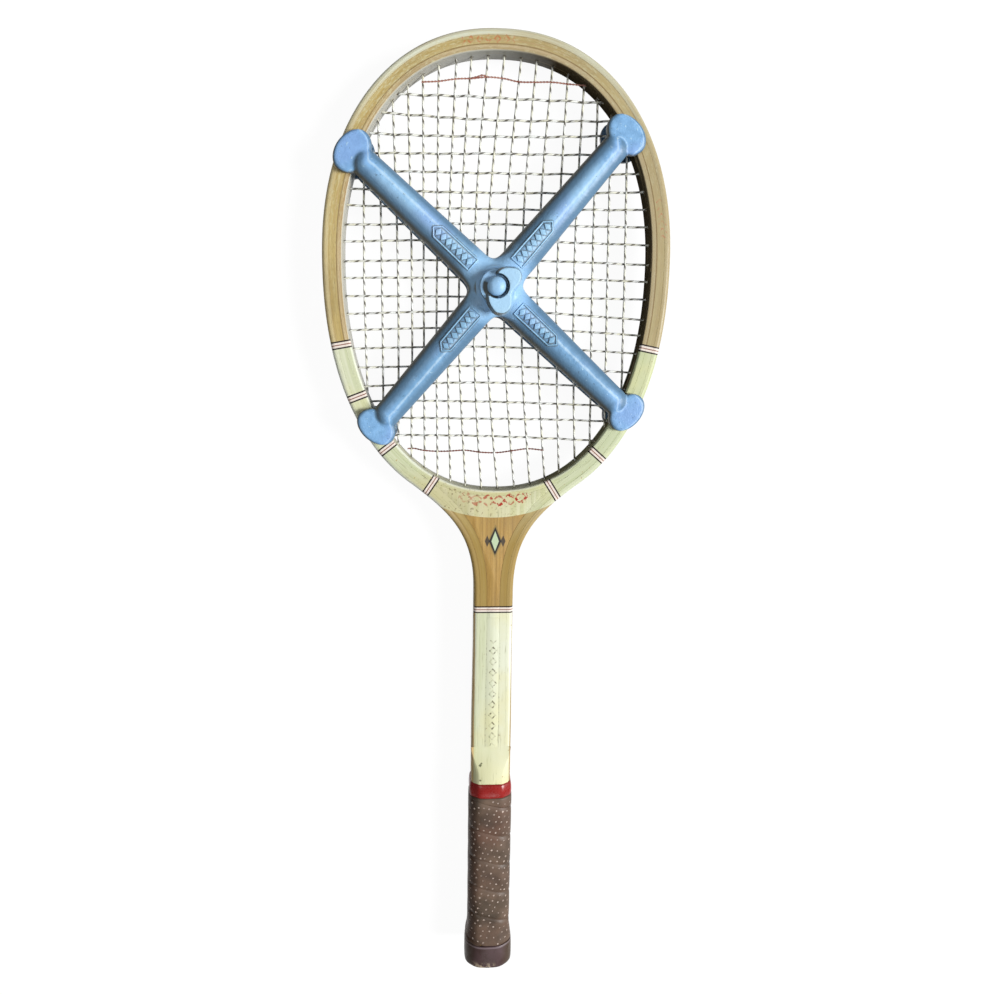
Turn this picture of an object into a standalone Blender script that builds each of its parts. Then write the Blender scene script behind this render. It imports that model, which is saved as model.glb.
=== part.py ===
"""A wooden tennis racket held in a four-armed metal press, lying face up.

The racket's head points to +Y and its handle to -Y. The origin is on the surface that the racket lies on,
below the middle of its length. Sizes here are millimetres, and MM turns them to Blender's metres.
"""

import math

import bmesh
import bpy
import numpy as np

MM = 0.001
GAP = 0.3

# The whole racket
LENGTH = 676.0
TIP_Y = LENGTH / 2
MIDDLE_Z = 20.0
HOOP_DEPTH = 17.0
FACE_Z = HOOP_DEPTH / 2

# The head's outline: half an oval towards the tip and half a longer one towards the throat
HALF_WIDTH = 114.4
TIP_REACH = 143.0
THROAT_REACH = 161.7
OVALNESS = 2.2
HEAD_Y = TIP_Y - TIP_REACH

# The hoop's three plies, as depths in from the outline
HOOP_WIDTH = 13.3
OUTER_PLY = (0.0, 4.2)
MIDDLE_PLY = (4.5, 9.4)
INNER_PLY = (9.7, HOOP_WIDTH)
OUTER_CHAMFER = (2.6, 2.3)
INNER_CHAMFER = 1.2
GROOVE_DEPTH = 2.0
GROOVE_HALF = 3.2

# Where the bows leave the oval, sweep in and run down the shaft
FLARE_ANGLE = math.radians(-67.5)
FLARE_PULL = (38.0, 41.0)
SHAFT_TOP = 366.0
SHAFT_HALF = 14.1
HANDLE_HALF = 14.7
HANDLE_TOP = 470.0

# Strings
STRING = 1.3
LAYER = 0.8
HOLE_HALF = 1.5
HOLE_SPACING = 4.6
LOOP_RISE = GAP + STRING / 2
MAIN_TIP_X = (-87, -76.5, -68, -58.5, -49, -39, -28, -18.5, -8, 2.3, 13, 22.8, 33, 43, 53.5, 63.5, 73.5, 83)
MAIN_MIDDLE_X = (-88, -76.5, -66, -57, -49, -40.5, -33, -25.5, -16, -7.3, 4.5, 16, 27, 40, 51.5, 64, 74, 85.5)
MAIN_FOOT_X = (-87.5, -77, -67, -58, -49, -40, -31, -20.5, -9.2, 2.1, 14, 25, 35.5, 45.5, 56.5, 66.5, 76.8, 87.5)
CROSS_LEFT = (38, 50.5, 61.5, 72, 83.5, 95, 105, 117, 127.5, 140, 150.5, 162,
              173.5, 184, 196, 208.5, 221, 231, 242.5, 254)
CROSS_MIDDLE = (38, 51, 61, 71.5, 83, 95, 105, 114.5, 124.5, 137, 148, 160.5,
                170, 181, 193.5, 206.5, 217.5, 230.5, 242, 254.5)
CROSS_RIGHT = (38, 47.5, 58, 69, 81, 92, 103, 114, 125.5, 138, 149, 160.5,
               174, 184.5, 196.5, 209.5, 221, 233, 244, 257)
FOOT_LOOPS = (4, 13)
FOOT_GROOVE = (9.2, 11.9)
FOOT_GROOVE_OVER = 0.022

# The red binding thread at each end of the string bed
THREAD = 0.6
THREAD_DOWN = (26.0, 265.5)
THREAD_REACH = (47.5, 60.0)

# The throat and the core of the shaft
WEDGE_FOOT = 385.0
WEDGE_TIP = 1.2
CORE_END = LENGTH

# The handle under the leather
CHEEK_TOP = 487.0
CHEEK_FULL = 511.0
CHEEK_HEIGHT = 3.2
CHEEK_HALF = 11.8
FLARE_TOP = 641.0
FLARE_FULL = 660.0
FLARE_OUT = 2.1
SIDE_FLAT = 7.6
TOP_FLAT = 8.4

# Collar, leather grip and butt band
COLLAR = (515.6, 526.8)
COLLAR_WALL = 1.7
LEATHER = 1.4
LEATHER_START = 527.2
LEATHER_END = 655.5
LEATHER_WIDTH = 24.0
LEATHER_PITCH = 24.6
BAND = (656.0, 675.0)
TACK_DOWN = 668.0

# The press: two crosses, drawn together by a screw between the strings
PRESS_X = -2.0
PRESS_Y = TIP_Y - 155.3
PRESS_TURN = math.radians(3.9)
BARS = ((45.47, 122.4, 118.0), (134.53, 118.3, 118.3))
ARM_HALF = (11.0, 8.8)
ARM_HEIGHT = (10.4, 8.4)
ARM_SIDE = 2.0
PAD_BEYOND = 3.5
PAD_HALF = (14.2, 9.8, 11.0)
PAD_THICKNESS = 5.5
UNDERCUT = (0.4, 0.6)
WEB_FILLET = 6.0
WEB_HEIGHT = 8.6
BOSS_RADIUS = 13.0
BOSS_FRONT = 11.0
BOSS_REAR = MIDDLE_Z - FACE_Z - GAP
SCREW_RADIUS = 4.0
SCREW_END = 1.0
BUSH_RADIUS = 7.0
BUSH_SPAN = (0.5, 10.5)
WASHER_RADIUS = 11.5
WASHER = 1.5
COLLAR_RING = 10.7
COLLAR_RING_HEIGHT = 4.0
DOME_RADIUS = 6.1
DOME_HEIGHT = 6.2
WING_HEIGHT = 6.4
WING_NOTCH = 7.3
# The ears' outer edge, measured on the photograph as (degrees round the screw, reach)
WING_OUTLINE = ((88, 7.8), (83, 8.8), (71, 10.9), (55, 13.3), (41, 15.8), (32, 16.5), (21, 15.8), (13, 14.5),
                (5, 12.9), (-4, 11.4), (-17, 10.0), (-32, 10.2), (-42, 11.9), (-53, 14.5), (-62, 16.1), (-73, 17.0),
                (-82, 16.8), (-93, 15.9), (-103, 13.7), (-115, 11.4), (-131, 8.3))

COLOURS = {
    "ash": ((0.50, 0.35, 0.14), 0.45, 0.0),
    "ash_dark": ((0.33, 0.20, 0.08), 0.5, 0.0),
    "beech": ((0.45, 0.27, 0.10), 0.5, 0.0),
    "gut": ((0.80, 0.77, 0.60), 0.35, 0.0),
    "thread": ((0.42, 0.12, 0.08), 0.8, 0.0),
    "red_plastic": ((0.48, 0.02, 0.02), 0.2, 0.0),
    "leather": ((0.11, 0.06, 0.045), 0.6, 0.0),
    "leather_dark": ((0.06, 0.03, 0.03), 0.6, 0.0),
    "blue_paint": ((0.25, 0.45, 0.70), 0.4, 0.0),
    "steel": ((0.55, 0.56, 0.58), 0.35, 1.0),
}


# Small helpers

def clear_scene():
    for obj in list(bpy.data.objects):
        bpy.data.objects.remove(obj, do_unlink=True)


def material(name):
    found = bpy.data.materials.get(name)
    if found:
        return found
    colour, roughness, metallic = COLOURS[name]
    made = bpy.data.materials.new(name)
    made.use_nodes = True
    shader = made.node_tree.nodes["Principled BSDF"]
    shader.inputs["Base Color"].default_value = (*colour, 1.0)
    shader.inputs["Roughness"].default_value = roughness
    shader.inputs["Metallic"].default_value = metallic
    return made


def frame_empty(name, x=0.0, y=0.0, turn=0.0):
    """The frame that a rigid group's pieces hang from. On a moving group it stands on the joint's axis."""
    empty = bpy.data.objects.new(name, None)
    empty.location = (x * MM, y * MM, 0.0)
    empty.rotation_euler = (0.0, 0.0, turn)
    bpy.context.scene.collection.objects.link(empty)
    return empty


def object_from(name, mesh_build, slot, parent, turn=0.0, sharp=35.0):
    """An object named as its sub-part, from a bmesh in millimetres about its parent's frame."""
    bmesh.ops.recalc_face_normals(mesh_build, faces=mesh_build.faces)
    bmesh.ops.scale(mesh_build, vec=(MM, MM, MM), verts=mesh_build.verts)
    mesh = bpy.data.meshes.new(name)
    mesh_build.to_mesh(mesh)
    mesh_build.free()
    mesh.shade_smooth()
    mesh.set_sharp_from_angle(angle=math.radians(sharp))
    obj = bpy.data.objects.new(name, mesh)
    obj.data.materials.append(material(slot))
    obj.parent = parent
    obj.rotation_euler = (0.0, 0.0, turn)
    bpy.context.scene.collection.objects.link(obj)
    return obj


def hide_helper(obj):
    obj.hide_render = True
    obj.display_type = "WIRE"


def combine(obj, other, operation):
    modifier = obj.modifiers.new(operation.lower() + "_" + other.name, "BOOLEAN")
    modifier.operation = operation
    modifier.object = other
    hide_helper(other)


def loft(rings, closed=False):
    """A closed body through rings of equally many points, with flat ends unless the rings close on themselves."""
    build = bmesh.new()
    made = [[build.verts.new(p) for p in ring] for ring in rings]
    pairs = list(zip(made, made[1:]))
    if closed:
        pairs.append((made[-1], made[0]))
    for low, high in pairs:
        for k in range(len(low)):
            m = (k + 1) % len(low)
            build.faces.new((low[k], low[m], high[m], high[k]))
    if not closed:
        build.faces.new(made[0][::-1])
        build.faces.new(made[-1])
    return build


def prism(outline, low, high):
    """An outline of (x, y) points, raised from one height to another."""
    return loft([[(x, y, low) for x, y in outline], [(x, y, high) for x, y in outline]])


def ring_points(radius, sides, turn=0.0):
    return [(radius * math.cos(turn + math.tau * k / sides), radius * math.sin(turn + math.tau * k / sides))
            for k in range(sides)]


def down(distance):
    """The y of a place that lies this far down from the racket's tip."""
    return TIP_Y - distance


# The racket's outline

def oval_at(angle):
    """A point of the head's oval and the way out from it."""
    c, s = math.cos(angle), math.sin(angle)
    reach = TIP_REACH if s >= 0 else THROAT_REACH
    radius = (abs(c / HALF_WIDTH) ** OVALNESS + abs(s / reach) ** OVALNESS) ** (-1 / OVALNESS)
    x, y = radius * c, radius * s
    out = np.array([math.copysign(abs(x) ** (OVALNESS - 1) / HALF_WIDTH ** OVALNESS, x),
                    math.copysign(abs(y) ** (OVALNESS - 1) / reach ** OVALNESS, y)])
    return np.array([x, y + HEAD_Y]), out / np.linalg.norm(out)


def oval_inside(angle, depth):
    point, out = oval_at(angle)
    return point - out * depth


def flare_at(t):
    """The right side's sweep from the oval, t = 0, into the shaft, t = 1, and the way out from it."""
    start, out = oval_at(FLARE_ANGLE)
    along = np.array([out[1], -out[0]])
    end = np.array([SHAFT_HALF, down(SHAFT_TOP)])
    points = (start, start + along * FLARE_PULL[0], end + np.array([0, FLARE_PULL[1]]), end)
    weights = ((1 - t) ** 3, 3 * t * (1 - t) ** 2, 3 * t * t * (1 - t), t ** 3)
    slopes = (-3 * (1 - t) ** 2, 3 * (1 - t) ** 2 - 6 * t * (1 - t), 6 * t * (1 - t) - 3 * t * t, 3 * t * t)
    place = sum(w * p for w, p in zip(weights, points))
    slope = sum(w * p for w, p in zip(slopes, points))
    slope = slope / np.linalg.norm(slope)
    return place, np.array([-slope[1], slope[0]])


def bow_side():
    """Stations down the right side below the head: the flare, then the shaft and the handle."""
    stations = [flare_at(t) for t in np.linspace(0, 1, 13)[1:]]
    out = np.array([1.0, 0.0])
    for distance, half in ((410, SHAFT_HALF), (440, 14.4), (HANDLE_TOP, HANDLE_HALF), (CORE_END, HANDLE_HALF)):
        stations.append((np.array([half, down(distance)]), out))
    return stations


# Where the strings pass through the hoop

def angle_where(axis, value, low, high):
    """The angle at which the hoop's inner wall has this x (axis 0) or y (axis 1), between two angles."""
    rising = oval_inside(high, HOOP_WIDTH)[axis] > oval_inside(low, HOOP_WIDTH)[axis]
    for _ in range(40):
        middle = (low + high) / 2
        if (oval_inside(middle, HOOP_WIDTH)[axis] < value) == rising:
            low = middle
        else:
            high = middle
    return low


def string_holes():
    """Each hole's angle round the hoop, by string set, string and end, spread to a least spacing."""
    quarter = math.pi / 2
    holes = {}
    for k, (tip_x, foot_x) in enumerate(zip(MAIN_TIP_X, MAIN_FOOT_X)):
        holes["main", k, "tip"] = angle_where(0, tip_x, 0, 2 * quarter)
        holes["main", k, "foot"] = angle_where(0, foot_x, -2 * quarter, 0)
    for k, (left, right) in enumerate(zip(CROSS_LEFT, CROSS_RIGHT)):
        holes["cross", k, "right"] = angle_where(1, down(right), -quarter, quarter)
        holes["cross", k, "left"] = angle_where(1, down(left), 3 * quarter, quarter)
    for key in holes:
        holes[key] %= math.tau
    for _ in range(60):
        order = sorted(holes, key=holes.get)
        for near, far in zip(order, order[1:] + order[:1]):
            turn = (holes[far] - holes[near]) % math.tau
            chord = np.linalg.norm(oval_inside(holes[far], HOOP_WIDTH) - oval_inside(holes[near], HOOP_WIDTH))
            if chord < HOLE_SPACING:
                nudge = turn * (HOLE_SPACING - chord) / chord / 2
                holes[near] -= nudge
                holes[far] += nudge
    return holes


# The plies of the hoop

def wall_strip(build, left, right):
    """Faces between two stations' wall edges, round the half holes that each may hold."""
    (a, b, hole), (c, d, next_hole) = left, right
    if hole and next_hole:
        faces = ((a, hole["top"], hole["right"], next_hole["left"], next_hole["top"], c),
                 (d, next_hole["bottom"], next_hole["left"], hole["right"], hole["bottom"], b))
    elif hole:
        faces = ((c, a, hole["top"], hole["right"]), (c, hole["right"], d),
                 (d, hole["right"], hole["bottom"], b))
    elif next_hole:
        faces = ((a, c, next_hole["top"], next_hole["left"]), (a, next_hole["left"], b),
                 (b, next_hole["left"], next_hole["bottom"], d))
    else:
        faces = ((a, b, d, c),)
    for face in faces:
        build.faces.new(face)


def ply(stations, profile, outer_edge, inner_edge, closed):
    """A bent strip. Its profile is (depth, z) points, and a station with a hole height has a string hole.

    The two wall edges are those from the named profile points to the next, and the holes pass between them.
    """
    build = bmesh.new()
    rows = []
    for point, out, hole_z in stations:
        corners = [build.verts.new((*(point - out * depth), MIDDLE_Z + z)) for depth, z in profile]
        walls = {}
        if hole_z is not None:
            along = np.array([-out[1], out[0]])
            for edge in (outer_edge, inner_edge):
                depth = profile[edge][0]
                centre = point - out * depth
                walls[edge] = {
                    "top": build.verts.new((*centre, MIDDLE_Z + hole_z + HOLE_HALF)),
                    "bottom": build.verts.new((*centre, MIDDLE_Z + hole_z - HOLE_HALF)),
                    "left": build.verts.new((*(centre - along * HOLE_HALF), MIDDLE_Z + hole_z)),
                    "right": build.verts.new((*(centre + along * HOLE_HALF), MIDDLE_Z + hole_z)),
                }
            for near, far in (("top", "right"), ("right", "bottom"), ("bottom", "left"), ("left", "top")):
                outer, inner = walls[outer_edge], walls[inner_edge]
                build.faces.new((outer[near], outer[far], inner[far], inner[near]))
        rows.append((corners, walls))
    pairs = list(zip(rows, rows[1:]))
    if closed:
        pairs.append((rows[-1], rows[0]))
    count = len(profile)
    for (near, near_walls), (far, far_walls) in pairs:
        for k in range(count):
            m = (k + 1) % count
            if k in (outer_edge, inner_edge):
                upper, lower = (k, m) if profile[k][1] > profile[m][1] else (m, k)
                wall_strip(build, (near[upper], near[lower], near_walls.get(k)),
                           (far[upper], far[lower], far_walls.get(k)))
            else:
                build.faces.new((near[k], near[m], far[m], far[k]))
    if not closed:
        build.faces.new(rows[0][0])
        build.faces.new(rows[-1][0][::-1])
    return build


def bow_stations(holes):
    """Stations of the outer bows, from the right side's foot, up round the head and down the left side."""
    side = [(point, out, None) for point, out in bow_side()]
    stations = side[::-1]
    stations.append((*oval_at(FLARE_ANGLE), None))
    round_head = []
    for (kind, _, _), angle in holes.items():
        if angle > math.pi * 1.5:
            angle -= math.tau
        if FLARE_ANGLE + 0.02 < angle < math.pi - FLARE_ANGLE - 0.02:
            round_head.append((angle, -LAYER if kind == "main" else LAYER))
    stations += [(*oval_at(angle), z) for angle, z in sorted(round_head)]
    stations.append((*oval_at(math.pi - FLARE_ANGLE), None))
    mirror = np.array([-1.0, 1.0])
    stations += [(point * mirror, out * mirror, None) for point, out, _ in side]
    return stations


def make_plies(holes, racket):
    stations = bow_stations(holes)
    z = FACE_Z
    cut, drop = OUTER_CHAMFER
    start, end = OUTER_PLY
    profile = ((end, z), (start + cut, z), (start, z - drop), (start, GROOVE_HALF), (GROOVE_DEPTH, GROOVE_HALF),
               (GROOVE_DEPTH, -GROOVE_HALF), (start, -GROOVE_HALF), (start, drop - z), (start + cut, -z), (end, -z))
    object_from("hoop_outer_ply", ply(stations, profile, 4, 9, False), "ash", racket)
    start, end = MIDDLE_PLY
    profile = ((end, z), (start, z), (start, -z), (end, -z))
    object_from("hoop_middle_ply", ply(stations, profile, 1, 3, False), "ash_dark", racket)
    start, end = INNER_PLY
    stations = [(*oval_at(angle), -LAYER if kind == "main" else LAYER)
                for (kind, _, _), angle in sorted(holes.items(), key=lambda item: item[1])]
    profile = ((end - INNER_CHAMFER, z), (start, z), (start, -z), (end - INNER_CHAMFER, -z),
               (end, INNER_CHAMFER - z), (end, z - INNER_CHAMFER))
    inner = object_from("hoop_inner_ply", ply(stations, profile, 1, 4, True), "ash", racket)
    low = holes["main", FOOT_LOOPS[0], "foot"] - FOOT_GROOVE_OVER
    high = holes["main", FOOT_LOOPS[1], "foot"] + FOOT_GROOVE_OVER
    rings = []
    for angle in np.linspace(low, high, 26):
        near, far = (oval_inside(angle, depth) for depth in FOOT_GROOVE)
        top, bottom = MIDDLE_Z - LAYER + 1.4, MIDDLE_Z - LAYER - 1.4
        rings.append([(*near, top), (*far, top), (*far, bottom), (*near, bottom)])
    combine(inner, object_from("foot_groove_cutter", loft(rings), "ash", racket), "DIFFERENCE")


# The strings

def tube(name, points, diameter, slot, parent):
    curve = bpy.data.curves.new(name, "CURVE")
    curve.dimensions = "3D"
    curve.bevel_depth = diameter / 2 * MM
    curve.bevel_resolution = 0
    curve.use_fill_caps = True
    spline = curve.splines.new("POLY")
    spline.points.add(len(points) - 1)
    for target, point in zip(spline.points, points):
        target.co = (point[0] * MM, point[1] * MM, point[2] * MM, 1.0)
    curve.materials.append(material(slot))
    obj = bpy.data.objects.new(name, curve)
    obj.parent = parent
    bpy.context.scene.collection.objects.link(obj)
    return obj


def least_self_gap(points, diameter):
    """The least distance between a tube's surface and its own further stretches, on points 1 mm apart."""
    fine = []
    for a, b in zip(points, points[1:]):
        a, b = np.array(a), np.array(b)
        steps = max(1, int(np.linalg.norm(b - a)))
        fine += [a + (b - a) * k / steps for k in range(steps)]
    fine = np.array(fine)
    along = np.concatenate([[0], np.cumsum(np.linalg.norm(np.diff(fine, axis=0), axis=1))])
    least = math.inf
    for place, travelled in zip(fine, along):
        far = np.abs(along - travelled) > 4 * diameter
        least = min(least, np.linalg.norm(fine[far] - place, axis=1).min())
    return least - diameter


def hole_path(angle, loop_depth):
    """Points from the string bed out through a hole, to the floor of the groove that holds the loop."""
    return [oval_inside(angle, HOOP_WIDTH + 1.0), oval_inside(angle, loop_depth + 1.2)]


def loop_path(start, end, loop_depth):
    """The loop outside the hoop from one hole to the next, between the turns at its two ends."""
    turn = (end - start + math.pi) % math.tau - math.pi
    shares = (0.05, 0.17, 0.5, 0.83, 0.95)
    rises = (0.25, 0.0, 0.0, 0.0, 0.25)
    return [oval_inside(start + turn * share, loop_depth + rise) for share, rise in zip(shares, rises)]


def string_route(runs, loop_depths):
    """One unbroken string. Each run is (start angle, end angle, points between), and loops join the runs."""
    route = []
    for k, (start, end, between) in enumerate(runs):
        depth_in = loop_depths[k - 1] if k else GROOVE_DEPTH - LOOP_RISE
        depth_out = loop_depths[k] if k < len(loop_depths) else GROOVE_DEPTH - LOOP_RISE
        route += hole_path(start, depth_in)[::-1]
        route += between
        route += hole_path(end, depth_out)
        if k < len(loop_depths):
            route += loop_path(end, runs[k + 1][0], depth_out)
    return route


def bowed(start, end, middle, axis):
    """Points between two ends, bowed so that the run's middle has the given x (axis 0) or y (axis 1)."""
    start, end = oval_inside(start, HOOP_WIDTH), oval_inside(end, HOOP_WIDTH)
    bow = middle - (start[axis] + end[axis]) / 2
    points = []
    for share, part in ((0.27, 0.72), (0.5, 1.0), (0.73, 0.72)):
        point = start + (end - start) * share
        point[axis] += bow * part
        points.append(point)
    return points


def make_strings(holes, racket):
    foot_depth = FOOT_GROOVE[1] - LOOP_RISE
    side_depth = GROOVE_DEPTH - LOOP_RISE
    runs, depths = [], []
    for k, middle in enumerate(MAIN_MIDDLE_X):
        ends = [holes["main", k, "tip"], holes["main", k, "foot"]]
        if k % 2:
            ends.reverse()
        runs.append((ends[0], ends[1], bowed(ends[0], ends[1], middle, 0)))
        depths.append(foot_depth if k % 2 == 0 and FOOT_LOOPS[0] <= k <= FOOT_LOOPS[1] else side_depth)
    route = [(*p, MIDDLE_Z - LAYER) for p in string_route(runs, depths[:-1])]
    print("main_string least gap to itself, mm:", round(least_self_gap(route, STRING), 2))
    tube("main_string", route, STRING, "gut", racket)
    runs = []
    for k, distance in enumerate(CROSS_MIDDLE):
        ends = [holes["cross", k, "left"], holes["cross", k, "right"]]
        if k % 2:
            ends.reverse()
        runs.append((ends[0], ends[1], bowed(ends[0], ends[1], down(distance), 1)))
    route = [(*p, MIDDLE_Z + LAYER) for p in string_route(runs, [side_depth] * (len(runs) - 1))]
    print("cross_string least gap to itself, mm:", round(least_self_gap(route, STRING), 2))
    tube("cross_string", route, STRING, "gut", racket)
    height = MIDDLE_Z - LAYER + STRING / 2 + GAP + THREAD / 2
    for name, distance, reach in zip(("tip_binding_thread", "foot_binding_thread"), THREAD_DOWN, THREAD_REACH):
        places = np.linspace(-reach, reach, 12)
        route = [(x, down(distance) + 0.9 * math.cos(2.1 * k), height) for k, x in enumerate(places)]
        tube(name, route, THREAD, "thread", racket)


# The throat, the shaft and the handle

def make_wedge(racket):
    """The wedge between the bows: the oval above it, the bows' flare on both sides, the core below."""
    depth = INNER_PLY[0]
    oval_angles = np.linspace(FLARE_ANGLE, math.pi - FLARE_ANGLE - math.tau, 90)
    rim = [oval_inside(angle, depth - GAP) for angle in oval_angles]
    side = []
    for t in np.linspace(0.1, 1, 40):
        point, out = flare_at(t)
        place = point - out * depth
        room = min(np.linalg.norm(place - p) for p in rim)
        if room > WEDGE_TIP and (side or place[1] < rim[0][1]):
            side.append(place)
    side = side[::3] + [side[-1], np.array([SHAFT_HALF - depth, down(WEDGE_FOOT)])]
    mirror = np.array([-1.0, 1.0])
    tip_x = side[0][0]
    top = [p for p in rim if abs(p[0]) < tip_x + 0.4][::4]
    outline = side + [p * mirror for p in side[::-1]] + [p for p in top[::-1]]
    build = prism([tuple(p) for p in outline], MIDDLE_Z - FACE_Z, MIDDLE_Z + FACE_Z)
    object_from("throat_wedge", build, "beech", racket)


def make_core(racket):
    half = SHAFT_HALF - INNER_PLY[0]
    low = half + HANDLE_HALF - SHAFT_HALF
    places = ((WEDGE_FOOT + GAP, half), (410, half), (440, half + 0.3), (HANDLE_TOP, low), (CORE_END, low))
    outline = [(w, down(d)) for d, w in places] + [(-w, down(d)) for d, w in places[::-1]]
    object_from("shaft_core", prism(outline, MIDDLE_Z - FACE_Z, MIDDLE_Z + FACE_Z), "beech", racket)


def ramp(value, start, end):
    return min(1.0, max(0.0, (value - start) / (end - start)))


def cheek_rise(distance):
    return 0.4 + (CHEEK_HEIGHT - 0.4) * ramp(distance, CHEEK_TOP, CHEEK_FULL) \
        + FLARE_OUT * ramp(distance, FLARE_TOP, FLARE_FULL)


def handle_section(distance, grow):
    """Half an octagon's corners, as (x, z), for the wood of the handle grown outwards by a thickness."""
    flare = FLARE_OUT * ramp(distance, FLARE_TOP, FLARE_FULL)
    half_x = HANDLE_HALF + flare + GAP * ramp(distance, FLARE_TOP - 8, FLARE_TOP + 3) + grow
    half_z = FACE_Z + GAP + cheek_rise(distance) + grow
    spread = grow * 0.41
    return half_x, half_z, SIDE_FLAT + spread, TOP_FLAT + spread


def octagon(distance, grow, y=None):
    """The handle's section at a distance down, with its corners taken off, as 16 points."""
    half_x, half_z, side, top = handle_section(distance, grow)
    corner = 0.8
    slope = np.array([half_x - top, half_z - side])
    slope = slope / np.linalg.norm(slope) * corner
    quarter = [(half_x, side - corner), (half_x - slope[0] * 0.9, side + slope[1] * 0.9),
               (top + slope[0] * 0.9, half_z - slope[1] * 0.9), (top - corner, half_z)]
    points = quarter + [(-x, z) for x, z in quarter[::-1]] + [(-x, -z) for x, z in quarter] \
        + [(x, -z) for x, z in quarter[::-1]]
    place = down(distance) if y is None else y
    return [(x, place, MIDDLE_Z + z) for x, z in points]


def make_handle(racket):
    for name, side in (("handle_front_cheek", 1), ("handle_back_cheek", -1)):
        rings = []
        for distance in (CHEEK_TOP, CHEEK_FULL, FLARE_TOP, 650, FLARE_FULL, CORE_END):
            rise = cheek_rise(distance)
            low = FACE_Z + GAP
            top_half = CHEEK_HALF - rise + FLARE_OUT * ramp(distance, FLARE_TOP, FLARE_FULL)
            rings.append([(x, down(distance), MIDDLE_Z + side * z) for x, z in
                          ((CHEEK_HALF, low), (top_half, low + rise), (-top_half, low + rise), (-CHEEK_HALF, low))])
        cheek = object_from(name, loft(rings), "beech", racket)
        if side < 0:
            hole = prism(ring_points(0.95, 8), MIDDLE_Z - 20, MIDDLE_Z - FACE_Z - 1.5)
            bmesh.ops.translate(hole, vec=(0, down(TACK_DOWN), 0), verts=hole.verts)
            combine(cheek, object_from("tack_hole_cutter", hole, "steel", racket), "DIFFERENCE")
    for name, side in (("butt_right_flare", 1), ("butt_left_flare", -1)):
        rings = []
        for distance in (FLARE_TOP + 4, 650, FLARE_FULL, CORE_END):
            out = FLARE_OUT * ramp(distance, FLARE_TOP, FLARE_FULL)
            low = HANDLE_HALF + GAP
            inner, outer = SIDE_FLAT - 0.4, SIDE_FLAT - 1.2
            rings.append([(side * x, down(distance), MIDDLE_Z + z) for x, z in
                          ((low, inner), (low + out, outer), (low + out, -outer), (low, -inner))])
        object_from(name, loft(rings), "beech", racket)


def make_collar(racket):
    start, end = COLLAR
    rings = []
    for distance, grow in ((start, GAP), (end, GAP), (end, COLLAR_WALL - 0.3), (end - 1.2, COLLAR_WALL),
                           (start + 2.4, COLLAR_WALL), (start + 0.5, COLLAR_WALL - 0.5)):
        rings.append(octagon(CHEEK_FULL + 4, grow, down(distance)))
    object_from("grip_collar", loft(rings, closed=True), "red_plastic", racket)


def octagon_walk(distance, grow, turn):
    """A point round the handle's section: turn counts whole turns from the middle of the back face."""
    ring = octagon(distance, grow)
    place = ((-turn - 0.25) % 1.0) * len(ring)
    k = int(place) % len(ring)
    share = place - int(place)
    a, b = np.array(ring[k]), np.array(ring[(k + 1) % len(ring)])
    return a + (b - a) * share


def make_leather(racket):
    """One strip wound down the handle. It starts and ends as a taper, cut square to the handle."""
    turns = (LEATHER_END - LEATHER_START) / LEATHER_PITCH + LEATHER_WIDTH / LEATHER_PITCH
    steps = int(turns * 16)
    rings, edges = [], []
    for k in range(1, steps):
        turn = k / 16
        low = LEATHER_START + LEATHER_PITCH * turn
        high = low - LEATHER_WIDTH
        low, high = min(low, LEATHER_END), max(high, LEATHER_START)
        edges.append((turn, high, low))
        ring = []
        for distance, grow in ((high, GAP), (high, GAP + LEATHER), (low, GAP + LEATHER), (low, GAP)):
            ring.append(octagon_walk(distance, grow, turn))
        rings.append(ring)
    gaps = [later[1] - earlier[2] for earlier, later in zip(edges, edges[16:])]
    print("leather_grip least gap to itself, mm:", round(min(gaps), 2))
    object_from("leather_grip", loft(rings), "leather", racket, sharp=50.0)


def make_butt_band(racket):
    start, end = BAND
    rings = []
    for distance, grow in ((start, GAP), (FLARE_FULL, GAP), (end, GAP), (end, GAP + 0.9), (end - 1.4, GAP + LEATHER),
                           (FLARE_FULL, GAP + LEATHER + 0.2), (start, GAP + LEATHER)):
        rings.append(octagon(distance, grow))
    band = object_from("butt_band", loft(rings, closed=True), "leather_dark", racket, sharp=50.0)
    hole = prism(ring_points(0.95, 8), MIDDLE_Z - 20, MIDDLE_Z - FACE_Z - CHEEK_HEIGHT)
    bmesh.ops.translate(hole, vec=(0, down(TACK_DOWN), 0), verts=hole.verts)
    combine(band, object_from("band_hole_cutter", hole, "steel", racket), "DIFFERENCE")
    back = handle_section(TACK_DOWN, GAP + LEATHER + 0.2)[1] + GAP
    tip = MIDDLE_Z - FACE_Z - 2.2
    heights = (MIDDLE_Z - back - 0.9, MIDDLE_Z - back - 0.3, MIDDLE_Z - back, MIDDLE_Z - back + 0.05, tip - 1.5, tip)
    radii = (1.4, 2.4, 2.4, 0.6, 0.6, 0.15)
    rings = [[(x, y + down(TACK_DOWN), z) for x, y in ring_points(r, 12)] for r, z in zip(radii, heights)]
    object_from("butt_tack", loft(rings), "steel", racket)


# The press

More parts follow.
